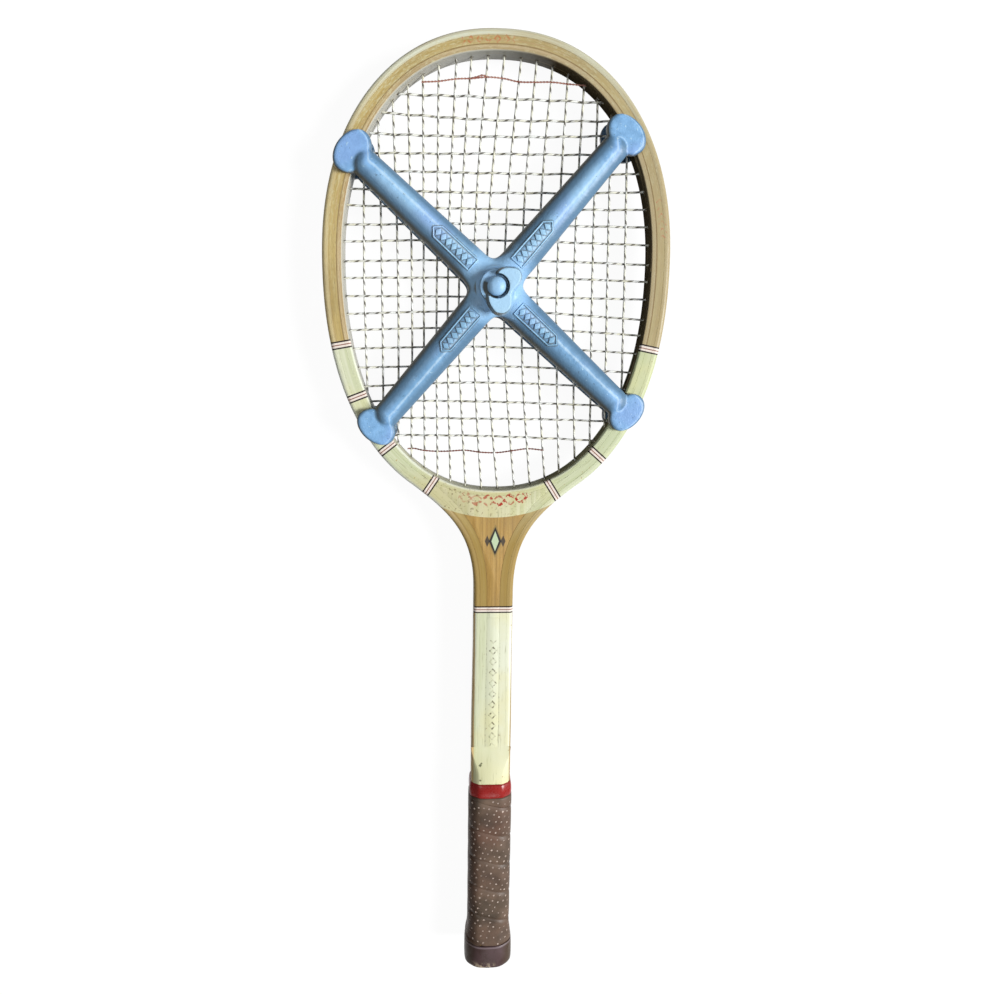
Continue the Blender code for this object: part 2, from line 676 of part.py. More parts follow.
def arm_bar(base, side, under, far, near):
    """A bar across the press from nose to nose, flat on the racket's side and half round on the other."""
    base += side * under
    places = []
    for share in (1.0, 0.975, 0.90, 0.2):
        taper = ramp(share, 0.2, 0.9)
        nose = math.sqrt(max(0.04, 1 - ramp(share, 0.90, 1.0) ** 2))
        half = (ARM_HALF[0] + (ARM_HALF[1] - ARM_HALF[0]) * taper) * nose
        height = (ARM_HEIGHT[0] + (ARM_HEIGHT[1] - ARM_HEIGHT[0]) * taper) * (0.35 + 0.65 * nose)
        places.append((share, half, height))
    places = [(share * far, half, height) for share, half, height in places] \
        + [(-share * near, half, height) for share, half, height in places[::-1]]
    rings = []
    for reach, half, height in places:
        low = min(ARM_SIDE, height * 0.3)
        ring = [(reach, -half, base), (reach, half, base)]
        for k in range(8):
            angle = math.pi * k / 7
            ring.append((reach, half * math.cos(angle), base + side * (low + (height - low) * math.sin(angle))))
        rings.append(ring)
    return loft(rings)


def web_outline():
    """The rounded square where the four arms run together, between the arms' flanks."""
    centre = (ARM_HALF[0] + WEB_FILLET) * math.sqrt(2)
    points = []
    for k in range(4):
        diagonal = math.pi / 4 + k * math.pi / 2
        cx, cy = centre * math.cos(diagonal), centre * math.sin(diagonal)
        for step in range(5):
            angle = diagonal + math.pi + math.radians(54 - 27 * step)
            points.append((cx + WEB_FILLET * math.cos(angle), cy + WEB_FILLET * math.sin(angle)))
    return points


def round_body(places, sides, x=0.0):
    """A turned body about an upright line, from its (radius, z) places."""
    return loft([[(px + x, py, z) for px, py in ring_points(radius, sides)] for radius, z in places])


def screw_bore(name, low, high, parent):
    return object_from(name, round_body(((SCREW_RADIUS + GAP, low), (SCREW_RADIUS + GAP, high)), 16),
                       "blue_paint", parent)


def pad_outline(reach):
    """A pad's outline: an oval across the end of its arm, blunter outwards than inwards."""
    across, outwards, inwards = PAD_HALF
    points = []
    for x, y in ring_points(1.0, 24):
        points.append((reach + x * (outwards if x > 0 else inwards), y * across))
    return points


def make_cross(name, side, boss_height, parent):
    """One casting of the press, built up from its bars, web, boss and pads, and bored for the screw."""
    base = MIDDLE_Z + side * (FACE_Z + GAP)
    cross = None
    for (angle, far, near), under in zip(BARS, UNDERCUT):
        bar = object_from(name if cross is None else name + "_bar", arm_bar(base, side, under, far, near), "blue_paint",
                          parent, turn=math.radians(angle))
        if cross is None:
            cross = bar
        else:
            combine(cross, bar, "UNION")
    web = prism(web_outline(), base + side * 2 * UNDERCUT[0], base + side * WEB_HEIGHT)
    combine(cross, object_from(name + "_web", web, "blue_paint", parent, turn=math.pi / 4), "UNION")
    boss = round_body(((BOSS_RADIUS, base), (BOSS_RADIUS, base + side * (boss_height - 0.8)),
                       (BOSS_RADIUS - 0.8, base + side * boss_height)), 20)
    combine(cross, object_from(name + "_boss", boss, "blue_paint", parent), "UNION")
    for angle, far, near in BARS:
        for turn, reach in ((angle, far), (angle + 180, near)):
            outline = np.array(pad_outline(reach + PAD_BEYOND))
            middle = outline.mean(axis=0)
            smaller = middle + (outline - middle) * (1 - 0.8 / PAD_HALF[1])
            rings = [[(x, y, base + side * height) for x, y in ring] for ring, height in
                     ((outline, 0.0), (outline, PAD_THICKNESS - 0.8), (smaller, PAD_THICKNESS))]
            pad = object_from(name + "_pad", loft(rings), "blue_paint", parent, turn=math.radians(turn))
            combine(cross, pad, "UNION")
    combine(cross, screw_bore(name + "_bore", base - 30, base + 30, parent), "DIFFERENCE")
    return cross


def make_press(rear_frame, front_frame, screw_frame):
    rear = make_cross("rear_cross", -1, BOSS_REAR, rear_frame)
    pocket = prism(ring_points(BUSH_RADIUS + GAP, 6), -1, BUSH_SPAN[1] + GAP)
    combine(rear, object_from("bush_pocket", pocket, "steel", rear_frame), "DIFFERENCE")
    bush = object_from("rear_thread_bush", prism(ring_points(BUSH_RADIUS, 6), *BUSH_SPAN), "steel", rear_frame)
    combine(bush, screw_bore("bush_bore", -5, 30, rear_frame), "DIFFERENCE")

    make_cross("front_cross", 1, BOSS_FRONT, front_frame)
    washer_z = MIDDLE_Z + FACE_Z + GAP + BOSS_FRONT + GAP
    washer = round_body(((WASHER_RADIUS, washer_z), (WASHER_RADIUS, washer_z + WASHER)), 24)
    washer = object_from("screw_washer", washer, "blue_paint", front_frame)
    combine(washer, screw_bore("washer_bore", washer_z - 5, washer_z + 5, front_frame), "DIFFERENCE")

    ring_z = washer_z + WASHER + GAP
    dome_z = ring_z + COLLAR_RING_HEIGHT + GAP
    places = [(SCREW_RADIUS - 0.8, SCREW_END), (SCREW_RADIUS, SCREW_END + 0.8), (SCREW_RADIUS, dome_z),
              (DOME_RADIUS, dome_z)]
    for k in range(5):
        angle = math.pi / 2 * k / 5
        places.append((DOME_RADIUS * math.cos(angle), dome_z + 2.6 + (DOME_HEIGHT - 2.6) * math.sin(angle)))
    places.append((0.5, dome_z + DOME_HEIGHT))
    object_from("press_screw", round_body(places, 16), "blue_paint", screw_frame)
    make_wing(ring_z, screw_frame)


def make_wing(ring_z, parent):
    """The wing piece under the screw's domed head: a ring, and two ears that stand up beside the dome."""
    ring = round_body(((COLLAR_RING, ring_z), (COLLAR_RING, ring_z + COLLAR_RING_HEIGHT)), 24)
    wing = object_from("wing_handle", ring, "blue_paint", parent)
    outline = [(reach * math.cos(math.radians(angle)), reach * math.sin(math.radians(angle)))
               for angle, reach in WING_OUTLINE]
    notch = [(WING_NOTCH * math.cos(angle), WING_NOTCH * math.sin(angle))
             for angle in np.radians(np.linspace(WING_OUTLINE[-1][0], WING_OUTLINE[0][0], 12)[1:-1])]
    low = ring_z + COLLAR_RING_HEIGHT - 1.0
    ears = prism(outline + notch, low, low + 1.0 + WING_HEIGHT)
    combine(wing, object_from("wing_ears", ears, "blue_paint", parent, turn=-PRESS_TURN), "UNION")
    combine(wing, screw_bore("wing_bore", ring_z - 5, ring_z + 20, parent), "DIFFERENCE")


def main():
    clear_scene()
    racket = frame_empty("racket")
    rear_frame = frame_empty("rear_press", PRESS_X, PRESS_Y, PRESS_TURN)
    front_frame = frame_empty("front_press", PRESS_X, PRESS_Y, PRESS_TURN)
    screw_frame = frame_empty("wing_screw", PRESS_X, PRESS_Y, PRESS_TURN)
    holes = string_holes()
    make_plies(holes, racket)
    make_strings(holes, racket)
    make_wedge(racket)
    make_core(racket)
    make_handle(racket)
    make_collar(racket)
    make_leather(racket)
    make_butt_band(racket)
    make_press(rear_frame, front_frame, screw_frame)


main()
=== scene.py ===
"""The looks of a wooden tennis racket held in a four-armed metal press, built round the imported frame.

Sizes are millimetres, and MM turns them to metres. The racket's head points to +Y, its face up.
"""

import math
from contextlib import contextmanager

import bmesh
import bpy
import numpy as np
from mathutils import Matrix, Vector
from mathutils.bvhtree import BVHTree


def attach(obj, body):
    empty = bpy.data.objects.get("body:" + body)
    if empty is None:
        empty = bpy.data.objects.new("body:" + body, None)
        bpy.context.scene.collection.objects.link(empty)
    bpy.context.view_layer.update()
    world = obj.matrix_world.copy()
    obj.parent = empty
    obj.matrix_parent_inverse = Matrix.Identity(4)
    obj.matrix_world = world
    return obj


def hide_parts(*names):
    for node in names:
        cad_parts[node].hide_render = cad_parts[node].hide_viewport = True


MM = 0.001

# The racket's driving sizes, as the frame has them
LENGTH = 676.0
TIP_Y = LENGTH / 2
MIDDLE_Z = 20.0
FACE_Z = 8.5
HALF_WIDTH = 114.4
TIP_REACH = 143.0
THROAT_REACH = 161.7
OVALNESS = 2.2
HEAD_Y = TIP_Y - TIP_REACH
HOOP_WIDTH = 13.3
FLARE_ANGLE = math.radians(-67.5)
FLARE_PULL = (38.0, 41.0)
SHAFT_TOP = 366.0
SHAFT_WIDTHS = ((366, 14.1), (410, 14.1), (440, 14.4), (470, 14.7), (676, 14.7))
WEDGE_FOOT = 385.0

# The plies, glued with a hairline between them
OUTER_PLY = (0.0, 4.46)
MIDDLE_PLY = (4.5, 9.5)
INNER_PLY = (9.54, HOOP_WIDTH)
ROUNDING = (2.9, 2.6)
GROOVE_DEPTH = 2.0
GROOVE_HALF = 3.1
GROOVE_FADE = 34.0
STATION = 2.0

# Strings and their holes
STRING = 1.4
LAYER = 0.8
HOLE_RADIUS = 1.2
HOLE_SPACING = 4.6
LOOP_DEPTH = GROOVE_DEPTH - 0.95
FOOT_GROOVE = (9.2, 11.9)
FOOT_GROOVE_OVER = 0.022
FOOT_LOOP_DEPTH = FOOT_GROOVE[1] - 0.95
FOOT_LOOPS = (4, 13)
WEAVE = (0.4, 1.05)
MAIN_TIP_X = (-87, -76.5, -68, -58.5, -49, -39, -28, -18.5, -8, 2.3, 13, 22.8, 33, 43, 53.5, 63.5, 73.5, 83)
MAIN_MIDDLE_X = (-88, -76.5, -66, -57, -49, -40.5, -33, -25.5, -16, -7.3, 4.5, 16, 27, 40, 51.5, 64, 74, 85.5)
MAIN_FOOT_X = (-87.5, -77, -67, -58, -49, -40, -31, -20.5, -9.2,
               2.1, 14, 25, 35.5, 45.5, 56.5, 66.5, 76.8, 87.5)
CROSS_LEFT = (38, 50.5, 61.5, 72, 83.5, 95, 105, 117, 127.5, 140, 150.5, 162,
              173.5, 184, 196, 208.5, 221, 231, 242.5, 254)
CROSS_MIDDLE = (38, 51, 61, 71.5, 83, 95, 105, 114.5, 124.5, 137, 148, 160.5,
                170, 181, 193.5, 206.5, 217.5, 230.5, 242, 254.5)
CROSS_RIGHT = (38, 47.5, 58, 69, 81, 92, 103, 114, 125.5, 138, 149, 160.5,
               174, 184.5, 196.5, 209.5, 221, 233, 244, 257)

# The binding threads, as (x, distance from the tip) places measured on the photograph
TIP_THREAD = ((-49.8, 30.6), (-39, 29.7), (-27.8, 28.1), (-18.4, 27.4), (-8.3, 26.4), (2.3, 26.8),
              (10.7, 28.4), (21.6, 28.2), (32.3, 27.9), (42.9, 28.5), (52, 28.9), (59.5, 29.2))
TIP_LOOP = ((-18.4, 27.3), (-14.8, 26.4), (-11.8, 25.5), (-8.3, 26.3))
FOOT_THREAD = ((-60.5, 263.3), (-57.1, 263.5), (-49.6, 264.5), (-39.7, 265.4), (-31.4, 264.9), (-21.4, 264.5),
               (-9.8, 265.6), (1.4, 266.1), (13, 264.2), (22.6, 263.2), (34, 263.9))
THREAD = 1.0
THREAD_PLY = 0.58
THREAD_LAY = 4.2

# Stripes across the hoop, as (x, distance from the tip) on the middle of its face
STRIPES = ((-103.8, 193.6), (103.8, 193.6), (-89.5, 226.0), (89.5, 226.0), (-72.7, 260.9), (68.4, 264.0),
           (-43.4, 286.1), (38.7, 288.5))
STRIPE_TURNS = (1, -1, -1, 1, 1, -1, -1, 1)
STRIPE_HALF = 2.6
STRIPE_NEAR = 25.0
FAR_FROM_MARKS = 60.0
SHAFT_STRIPE = 378.6
CREAM_ARC = ((-46.5, 298.6), (1.8, 310.5), (43.3, 299.1))
CREAM_EDGE_Z = 5.7
RIBBON_RISE = 12.0
RIBBON_PITCH = 18.0
RIBBON_WAVE = 3.1

# Handle
CHEEK_TOP = 487.0
CHEEK_FULL = 511.0
CHEEK_HEIGHT = 3.2
HANDLE_HALF = 14.7
SLEEVE_SIDES = 120
FLARE_TOP = 641.0
FLARE_FULL = 660.0
FLARE_OUT = 2.1
SIDE_FLAT = 7.6
TOP_FLAT = 8.4
COLLAR = (516.2, 527.0)
COLLAR_WALL = 0.9
UNDER_LEATHER = 0.3
LEATHER = 1.35
LEATHER_START = 527.2
LEATHER_END = 655.6
LEATHER_PITCH = 24.6
LEATHER_WIDTH = 24.45
HOLE_PITCH = (4.9, 4.7)
BAND = (655.9, 675.4)

# Press
PRESS_X = -2.0
PRESS_Y = TIP_Y - 155.3
PRESS_AT = (PRESS_X * MM, PRESS_Y * MM, 0)
PRESS_TURN = math.radians(3.9)
BARS = ((45.47, 122.4, 118.0), (134.53, 118.3, 118.3))
ARM_HALF = (11.0, 8.8)
ARM_HEIGHT = (10.4, 8.4)
ARM_SIDE = 2.0
NOSE = 8.5
PAD_BEYOND = 3.5
PAD_HALF = (14.2, 9.8, 11.0)
PAD_THICKNESS = 5.5
HUB_FRONT = 11.0
HUB_REAR = 11.15
HUB_RADIUS = 13.0
# The height of the middle from which the enamel's painted light and shade are reckoned
PAINTED_LIGHT_MIDDLE_Z = 40.0
NO_POCKET = -1000.0
SCREW_RADIUS = 4.0
BUSH_RADIUS = 7.3
BORE = SCREW_RADIUS + 0.35
PLAY = 0.3
PRESS_GAP = 0.3
PANEL = ((20.0, 4.4), (20.0, -4.4), (50.0, -4.1), (54.0, 0.0), (50.0, 4.1))
THREAD_PITCH = 1.411
WASHER_RADIUS = 11.5
WASHER = 1.5
RING_RADIUS = 10.8
RING_HEIGHT = 4.0
DOME_RADIUS = 6.1
DOME_HEIGHT = 6.2
WING_HEIGHT = 6.4
WING_NOTCH = 7.7
WING_DRAFT = 1.7
WING_OUTLINE = ((88, 7.8), (83, 8.8), (71, 10.9), (55, 13.3), (41, 15.8), (32, 16.5), (21, 15.8),
                (13, 14.5), (5, 12.9), (-4, 11.4), (-17, 10.0), (-32, 10.2), (-42, 11.9), (-53, 14.5),
                (-62, 16.1), (-73, 17.0), (-82, 16.8), (-93, 15.9), (-103, 13.7), (-115, 11.4), (-131, 8.3))

MATH = "ShaderNodeMath"
VECTOR = "ShaderNodeVectorMath"
MIX = "ShaderNodeMix"
POSITION = "GeometryNodeInputPosition"

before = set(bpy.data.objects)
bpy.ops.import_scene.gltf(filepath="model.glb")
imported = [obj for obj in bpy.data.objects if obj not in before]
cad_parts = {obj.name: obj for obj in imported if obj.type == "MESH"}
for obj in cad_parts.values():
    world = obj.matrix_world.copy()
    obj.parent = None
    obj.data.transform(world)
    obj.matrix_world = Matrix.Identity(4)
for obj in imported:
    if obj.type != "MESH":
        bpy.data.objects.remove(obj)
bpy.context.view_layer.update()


# Node trees

def linear(code):
    """An sRGB hex colour as linear red, green, blue and alpha."""
    shares = [int(code[k:k + 2], 16) / 255 for k in (0, 2, 4)]
    return (*[s / 12.92 if s <= 0.04045 else ((s + 0.055) / 1.055) ** 2.4 for s in shares], 1.0)


def enabled(sockets, name=None):
    """The first socket in use, or the first of this name."""
    return next(s for s in sockets if s.enabled and name in (None, s.name))


class Wire:
    """An output socket that can be reckoned with like a number. Each operation adds its node."""

    def __init__(self, source):
        self.socket = enabled(source.outputs) if isinstance(source, bpy.types.Node) else source

    def __add__(self, other):
        return calc("ADD", self, other)

    def __sub__(self, other):
        return calc("SUBTRACT", self, other)

    def __rsub__(self, other):
        return calc("SUBTRACT", other, self)

    def __mul__(self, other):
        return calc("MULTIPLY", self, other)

    def __truediv__(self, other):
        return calc("DIVIDE", self, other)

    def __rtruediv__(self, other):
        return calc("DIVIDE", other, self)

    def __gt__(self, other):
        return calc("GREATER_THAN", self, other)

    def __lt__(self, other):
        return calc("LESS_THAN", self, other)

    def __abs__(self):
        return calc("ABSOLUTE", self)

    def parts(self):
        """The three parts of a vector."""
        return [Wire(part) for part in add(tree_of(self), "ShaderNodeSeparateXYZ", {0: self}).outputs]


def tree_of(*values):
    return next(value for value in values if isinstance(value, Wire)).socket.id_data


def add(tree, kind, inputs=None, **settings):
    """A node with its settings and its inputs."""
    node = tree.nodes.new(kind)
    for setting, value in settings.items():
        setattr(node, setting, value)
    return fed(node, inputs or {})


def fed(node, inputs):
    """A node whose inputs, by name or number, are linked to a wire, node or socket, or else set."""
    for key, value in inputs.items():
        socket = node.inputs[key] if isinstance(key, int) else enabled(node.inputs, key)
        if isinstance(value, (bpy.types.Node, bpy.types.NodeSocket)):
            value = Wire(value)
        if isinstance(value, Wire):
            node.id_data.links.new(value.socket, socket)
        else:
            socket.default_value = value
    return node


def calc(operation, *values, kind=MATH):
    """One step of arithmetic on wires and numbers."""
    return Wire(add(tree_of(*values), kind, dict(enumerate(values)), operation=operation))


def dot(place, way):
    return calc("DOT_PRODUCT", place, way, kind=VECTOR)


def vector_of(*parts):
    return Wire(add(tree_of(*parts), "ShaderNodeCombineXYZ", dict(enumerate(parts))))


def length_of(*parts):
    return calc("LENGTH", vector_of(*parts), kind=VECTOR)


def higher(*values):
    """The highest of these values."""
    first, *others = values
    return calc("MAXIMUM", first, higher(*others)) if others else first


def fading(value, full, none, most=1.0, least=0.0):
    """A share that is most where the value is at full and least where it is at none, never beyond them."""
    return Wire(add(tree_of(value), "ShaderNodeMapRange", {"Value": value, "From Min": none, "From Max": full,
                                                           "To Min": least, "To Max": most}))


def noise(place, scale, detail, **more):
    """A noise at a place, with one scale or with one for each axis."""
    if isinstance(scale, tuple):
        place, scale = calc("MULTIPLY", place, scale, kind=VECTOR), 1.0
    inputs = {"Vector": place, "Scale": scale, "Detail": detail, **more}
    return Wire(add(tree_of(place), "ShaderNodeTexNoise", inputs))


def pebbles(place):
    """The rounded grain of leather, less than a millimetre across."""
    cells = add(tree_of(place), "ShaderNodeTexVoronoi", {"Vector": place, "Scale": 1500.0})
    return Wire(cells.outputs["Distance"])


def layered(colour, *layers):
    """A colour under others, each with its share. A colour is a hex code, linear values or a wire."""
    for layer, share in layers:
        under, over = (linear(each) if isinstance(each, str) else each for each in (colour, layer))
        colour = Wire(add(tree_of(share), MIX, {"Factor": share, "A": under, "B": over}, data_type="RGBA"))
    return colour


def start_material(name):
    """A new material, and the place in the object's space that its patterns go by."""
    made = bpy.data.materials.new(name)
    made.use_nodes = True
    return made, Wire(add(made.node_tree, "ShaderNodeTexCoord").outputs["Object"])


def own_map(made, name):
    """The two parts of a piece's UV map."""
    return Wire(add(made.node_tree, "ShaderNodeUVMap", uv_map=name)).parts()[:2]


def finished(made, colour, roughness, bump, **others):
    """A material with its looks. bump holds the strength, the depth in metres and the height."""
    relief = add(made.node_tree, "ShaderNodeBump", dict(zip(("Strength", "Distance", "Height"), bump)))
    fed(made.node_tree.nodes["Principled BSDF"],
        {"Base Color": colour, "Roughness": roughness, "Normal": relief,
         **{name.replace("_", " "): value for name, value in others.items()}})
    return made


def start_growth(name, sizes):
    """A new Geometry Nodes tree with a named input for each size, and the wires of its inputs."""
    tree = bpy.data.node_groups.new(name, "GeometryNodeTree")
    tree.interface.new_socket("Geometry", in_out="INPUT", socket_type="NodeSocketGeometry")
    tree.interface.new_socket("Geometry", in_out="OUTPUT", socket_type="NodeSocketGeometry")
    for size, value in sizes.items():
        kind = "NodeSocketObject" if value is None else "NodeSocketFloat"
        tree.interface.new_socket(size, in_out="INPUT", socket_type=kind)
    given = tree.nodes.new("NodeGroupInput")
    return tree, {size: Wire(given.outputs[size]) for size in ("Geometry", *sizes)}


def end_growth(tree, geometry, material):
    realised = add(tree, "GeometryNodeRealizeInstances", {"Geometry": geometry})
    painted = add(tree, "GeometryNodeSetMaterial", {"Geometry": realised, "Material": material})
    add(tree, "NodeGroupOutput", {0: painted})
    return tree


# Meshes

def placed(name, data):
    """A new object in the scene."""
    obj = bpy.data.objects.new(name, data)
    bpy.context.scene.collection.objects.link(obj)
    return obj


def shaped(mesh, kind, sizes=None, **settings):
    """A mesh after one modifier. sizes holds the inputs of a Geometry Nodes tree by name."""
    obj = placed("shaping", mesh)
    modifier = obj.modifiers.new("shape", kind)
    for setting, value in settings.items():
        setattr(modifier, setting, value)
    if sizes:
        for item in modifier.node_group.interface.items_tree:
            if item.in_out == "INPUT" and item.name in sizes:
                modifier[item.identifier] = sizes[item.name]
    graph = bpy.context.evaluated_depsgraph_get()
    result = bpy.data.meshes.new_from_object(obj.evaluated_get(graph), preserve_all_data_layers=True,
                                             depsgraph=graph)
    obj.modifiers.clear()
    bpy.data.objects.remove(obj)
    return result


def grown(tree, sizes, source=None):
    """The plain mesh that a Geometry Nodes tree makes from a source mesh, at these sizes."""
    return shaped(source or bpy.data.meshes.new("growing"), "NODES", sizes, node_group=tree)


def carved(mesh, cutter, operation="DIFFERENCE"):
    """A mesh after a Boolean with another."""
    knife = placed("cutter", cutter)
    result = shaped(mesh, "BOOLEAN", operation=operation, solver="MANIFOLD", object=knife)
    bpy.data.objects.remove(knife)
    return result


@contextmanager
def editing(mesh):
    """A mesh's parts to edit, written back at the end."""
    build = bmesh.new()
    build.from_mesh(mesh)
    yield build
    build.to_mesh(mesh)
    build.free()


def turned_out(mesh):
    """The same mesh with its doubles merged and its faces pointing outwards."""
    with editing(mesh) as build:
        bmesh.ops.remove_doubles(build, verts=build.verts, dist=1e-6)
        bmesh.ops.recalc_face_normals(build, faces=build.faces)
    return mesh


def joined(first, *others):
    """Meshes as one, with their maps."""
    with editing(first) as build:
        for other in others:
            build.from_mesh(other)
    return first


def values_of(items, name, width=1, kind=np.float32):
    """One property of all of a mesh's vertices, corners or attribute values."""
    values = np.empty(len(items) * width, kind)
    items.foreach_get(name, values)
    return values.reshape(-1, width) if width > 1 else values


def set_map(mesh, name, values):
    layer = mesh.uv_layers.get(name) or mesh.uv_layers.new(name=name)
    layer.uv.foreach_set("vector", np.asarray(values, np.float32).ravel())


def set_attribute(mesh, name, values):
    layer = mesh.attributes.get(name) or mesh.attributes.new(name, "FLOAT", "POINT")
    layer.data.foreach_set("value", np.asarray(values, np.float32))


def faces_of(mesh):
    """A mesh's surface, to find places on."""
    return BVHTree.FromPolygons([v.co for v in mesh.vertices], [p.vertices[:] for p in mesh.polygons])


def dress(name, mesh, material, body, node=None, sharp=38.0):
    """A finished piece of the object. A mesh that has its materials already keeps them."""
    mesh.name = name
    mesh.shade_smooth()
    mesh.set_sharp_from_angle(angle=math.radians(sharp))
    if material:
        mesh.materials.clear()
        mesh.materials.append(material)
    obj = placed(name, mesh)
    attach(obj, body)
    if node:
        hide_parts(node)
    return obj


def skin(rings, layers, closed=False):
    """A mesh through rings of equally many points, given in millimetres.

    layers holds each UV map's values at (ring, place), with one more place than a ring has points, and one
    more ring where the skin closes on itself lengthwise.
    """
    rings = np.asarray(rings, float)
    count, size = rings.shape[:2]
    rows = count if closed else count - 1
    i, j = (grid.ravel() for grid in np.meshgrid(np.arange(rows), np.arange(size), indexing="ij"))
    below, beside = (i + 1) % count, (j + 1) % size
    faces = np.stack([i * size + j, i * size + beside, below * size + beside, below * size + j], -1).tolist()
    if not closed:
        faces += [list(range(size))[::-1], list(range((count - 1) * size, count * size))]
    mesh = bpy.data.meshes.new("skin")
    mesh.from_pydata(rings.reshape(-1, 3) * MM, [], faces)
    for layer_name, values in layers.items():
        corners = np.stack([values[i, j], values[i, j + 1], values[i + 1, j + 1], values[i + 1, j]], 1)
        flat = corners.reshape(-1)
        if not closed:
            flat = np.concatenate([flat, values[0, :size][::-1].ravel(), values[count - 1, :size].ravel()])
        set_map(mesh, layer_name, flat)
    return turned_out(mesh)


def places_on(along, around):
    """A UV map's values from lengths along a skin and places round it, in millimetres."""
    u, v = np.meshgrid(np.asarray(along) * MM, np.asarray(around) * MM, indexing="ij")
    return np.stack([u, v], -1)


def down(distance):
    """The y of a place that lies this far down from the racket's tip."""
    return TIP_Y - distance


def level(distance):
    """The same in metres, for materials."""
    return down(distance) * MM


def ramp(value, start, end):
    return np.clip((value - start) / (end - start), 0.0, 1.0)


def eased(value, start, end):
    share = ramp(value, start, end)
    return share * share * (3 - 2 * share)


# The racket's outline, as the frame has it

def oval_at(angle):
    """A point of the head's oval and the way out from it."""
    c, s = math.cos(angle), math.sin(angle)
    reach = TIP_REACH if s >= 0 else THROAT_REACH
    radius = (abs(c / HALF_WIDTH) ** OVALNESS + abs(s / reach) ** OVALNESS) ** (-1 / OVALNESS)
    x, y = radius * c, radius * s
    out = np.array([math.copysign(abs(x) ** (OVALNESS - 1) / HALF_WIDTH ** OVALNESS, x),
                    math.copysign(abs(y) ** (OVALNESS - 1) / reach ** OVALNESS, y)])
    return np.array([x, y + HEAD_Y]), out / np.linalg.norm(out)


def oval_inside(angle, depth):
    point, out = oval_at(angle)
    return point - out * depth


def flare_at(t):
    """The right side's sweep from the oval, t = 0, into the shaft, t = 1, and the way out from it."""
    start, out = oval_at(FLARE_ANGLE)
    along = np.array([out[1], -out[0]])
    end = np.array([SHAFT_WIDTHS[0][1], down(SHAFT_TOP)])
    points = (start, start + along * FLARE_PULL[0], end + np.array([0, FLARE_PULL[1]]), end)
    weights = ((1 - t) ** 3, 3 * t * (1 - t) ** 2, 3 * t * t * (1 - t), t ** 3)
    slopes = (-3 * (1 - t) ** 2, 3 * (1 - t) ** 2 - 6 * t * (1 - t), 6 * t * (1 - t) - 3 * t * t, 3 * t * t)
    place = sum(w * p for w, p in zip(weights, points))
    slope = sum(w * p for w, p in zip(slopes, points))
    slope = slope / np.linalg.norm(slope)
    return place, np.array([-slope[1], slope[0]])


def shaft_half(distance):
    return float(np.interp(distance, *zip(*SHAFT_WIDTHS)))


def travelled_along(points):
    """The length travelled along a line to each of its points."""
    return np.concatenate([[0], np.cumsum(np.linalg.norm(np.diff(points, axis=0), axis=1))])


def spaced(path, step):
    """A path's places and ways out, respaced evenly, and the length travelled to each."""
    points, outs = (np.array(each) for each in zip(*path))
    lengths = travelled_along(points)
    even = np.linspace(0, lengths[-1], int(lengths[-1] / step) + 1)
    points = np.stack([np.interp(even, lengths, points[:, k]) for k in (0, 1)], 1)
    outs = np.stack([np.interp(even, lengths, outs[:, k]) for k in (0, 1)], 1)
    return points, outs / np.linalg.norm(outs, axis=1, keepdims=True), even


def bow_path():
    """The outer bow from its foot at the right, up and round the head, to its foot at the left."""
    right = [(np.array([shaft_half(d), down(d)]), np.array([1.0, 0.0]))
             for d in np.arange(LENGTH, SHAFT_TOP, -2.0)]
    right += [flare_at(t) for t in np.linspace(1, 0, 70)]
    head = [oval_at(a) for a in np.linspace(FLARE_ANGLE, math.pi - FLARE_ANGLE, 900)[1:-1]]
    mirror = np.array([-1.0, 1.0])
    left = [(p * mirror, o * mirror) for p, o in right[::-1]]
    return spaced(right + head + left, STATION)


def angle_where(axis, value, low, high):
    """The angle at which the hoop's inner wall has this x (axis 0) or y (axis 1), between two angles."""
    rising = oval_inside(high, HOOP_WIDTH)[axis] > oval_inside(low, HOOP_WIDTH)[axis]
    for _ in range(40):
        middle = (low + high) / 2
        if (oval_inside(middle, HOOP_WIDTH)[axis] < value) == rising:
            low = middle
        else:
            high = middle
    return low


def string_holes():
    """Each hole's angle round the hoop, by string set, string and end, spread to a least spacing."""
    quarter = math.pi / 2
    holes = {}
    for k, (tip_x, foot_x) in enumerate(zip(MAIN_TIP_X, MAIN_FOOT_X)):
        holes["main", k, "tip"] = angle_where(0, tip_x, 0, 2 * quarter)
        holes["main", k, "foot"] = angle_where(0, foot_x, -2 * quarter, 0)
    for k, (left, right) in enumerate(zip(CROSS_LEFT, CROSS_RIGHT)):
        holes["cross", k, "right"] = angle_where(1, down(right), -quarter, quarter)
        holes["cross", k, "left"] = angle_where(1, down(left), 3 * quarter, quarter)
    for key in holes:
        holes[key] %= math.tau
    for _ in range(60):
        order = sorted(holes, key=holes.get)
        for near, far in zip(order, order[1:] + order[:1]):
            turn = (holes[far] - holes[near]) % math.tau
            chord = np.linalg.norm(oval_inside(holes[far], HOOP_WIDTH) - oval_inside(holes[near], HOOP_WIDTH))
            if chord < HOLE_SPACING:
                nudge = turn * (HOLE_SPACING - chord) / chord / 2
                holes[near] -= nudge
                holes[far] += nudge
    return holes


HOLES = string_holes()


def hole_height(kind):
    return MIDDLE_Z + (-LAYER if kind == "main" else LAYER)


# Repeated small shapes: one solid on many points, its Z axis along a point's aim, its X axis along the lie

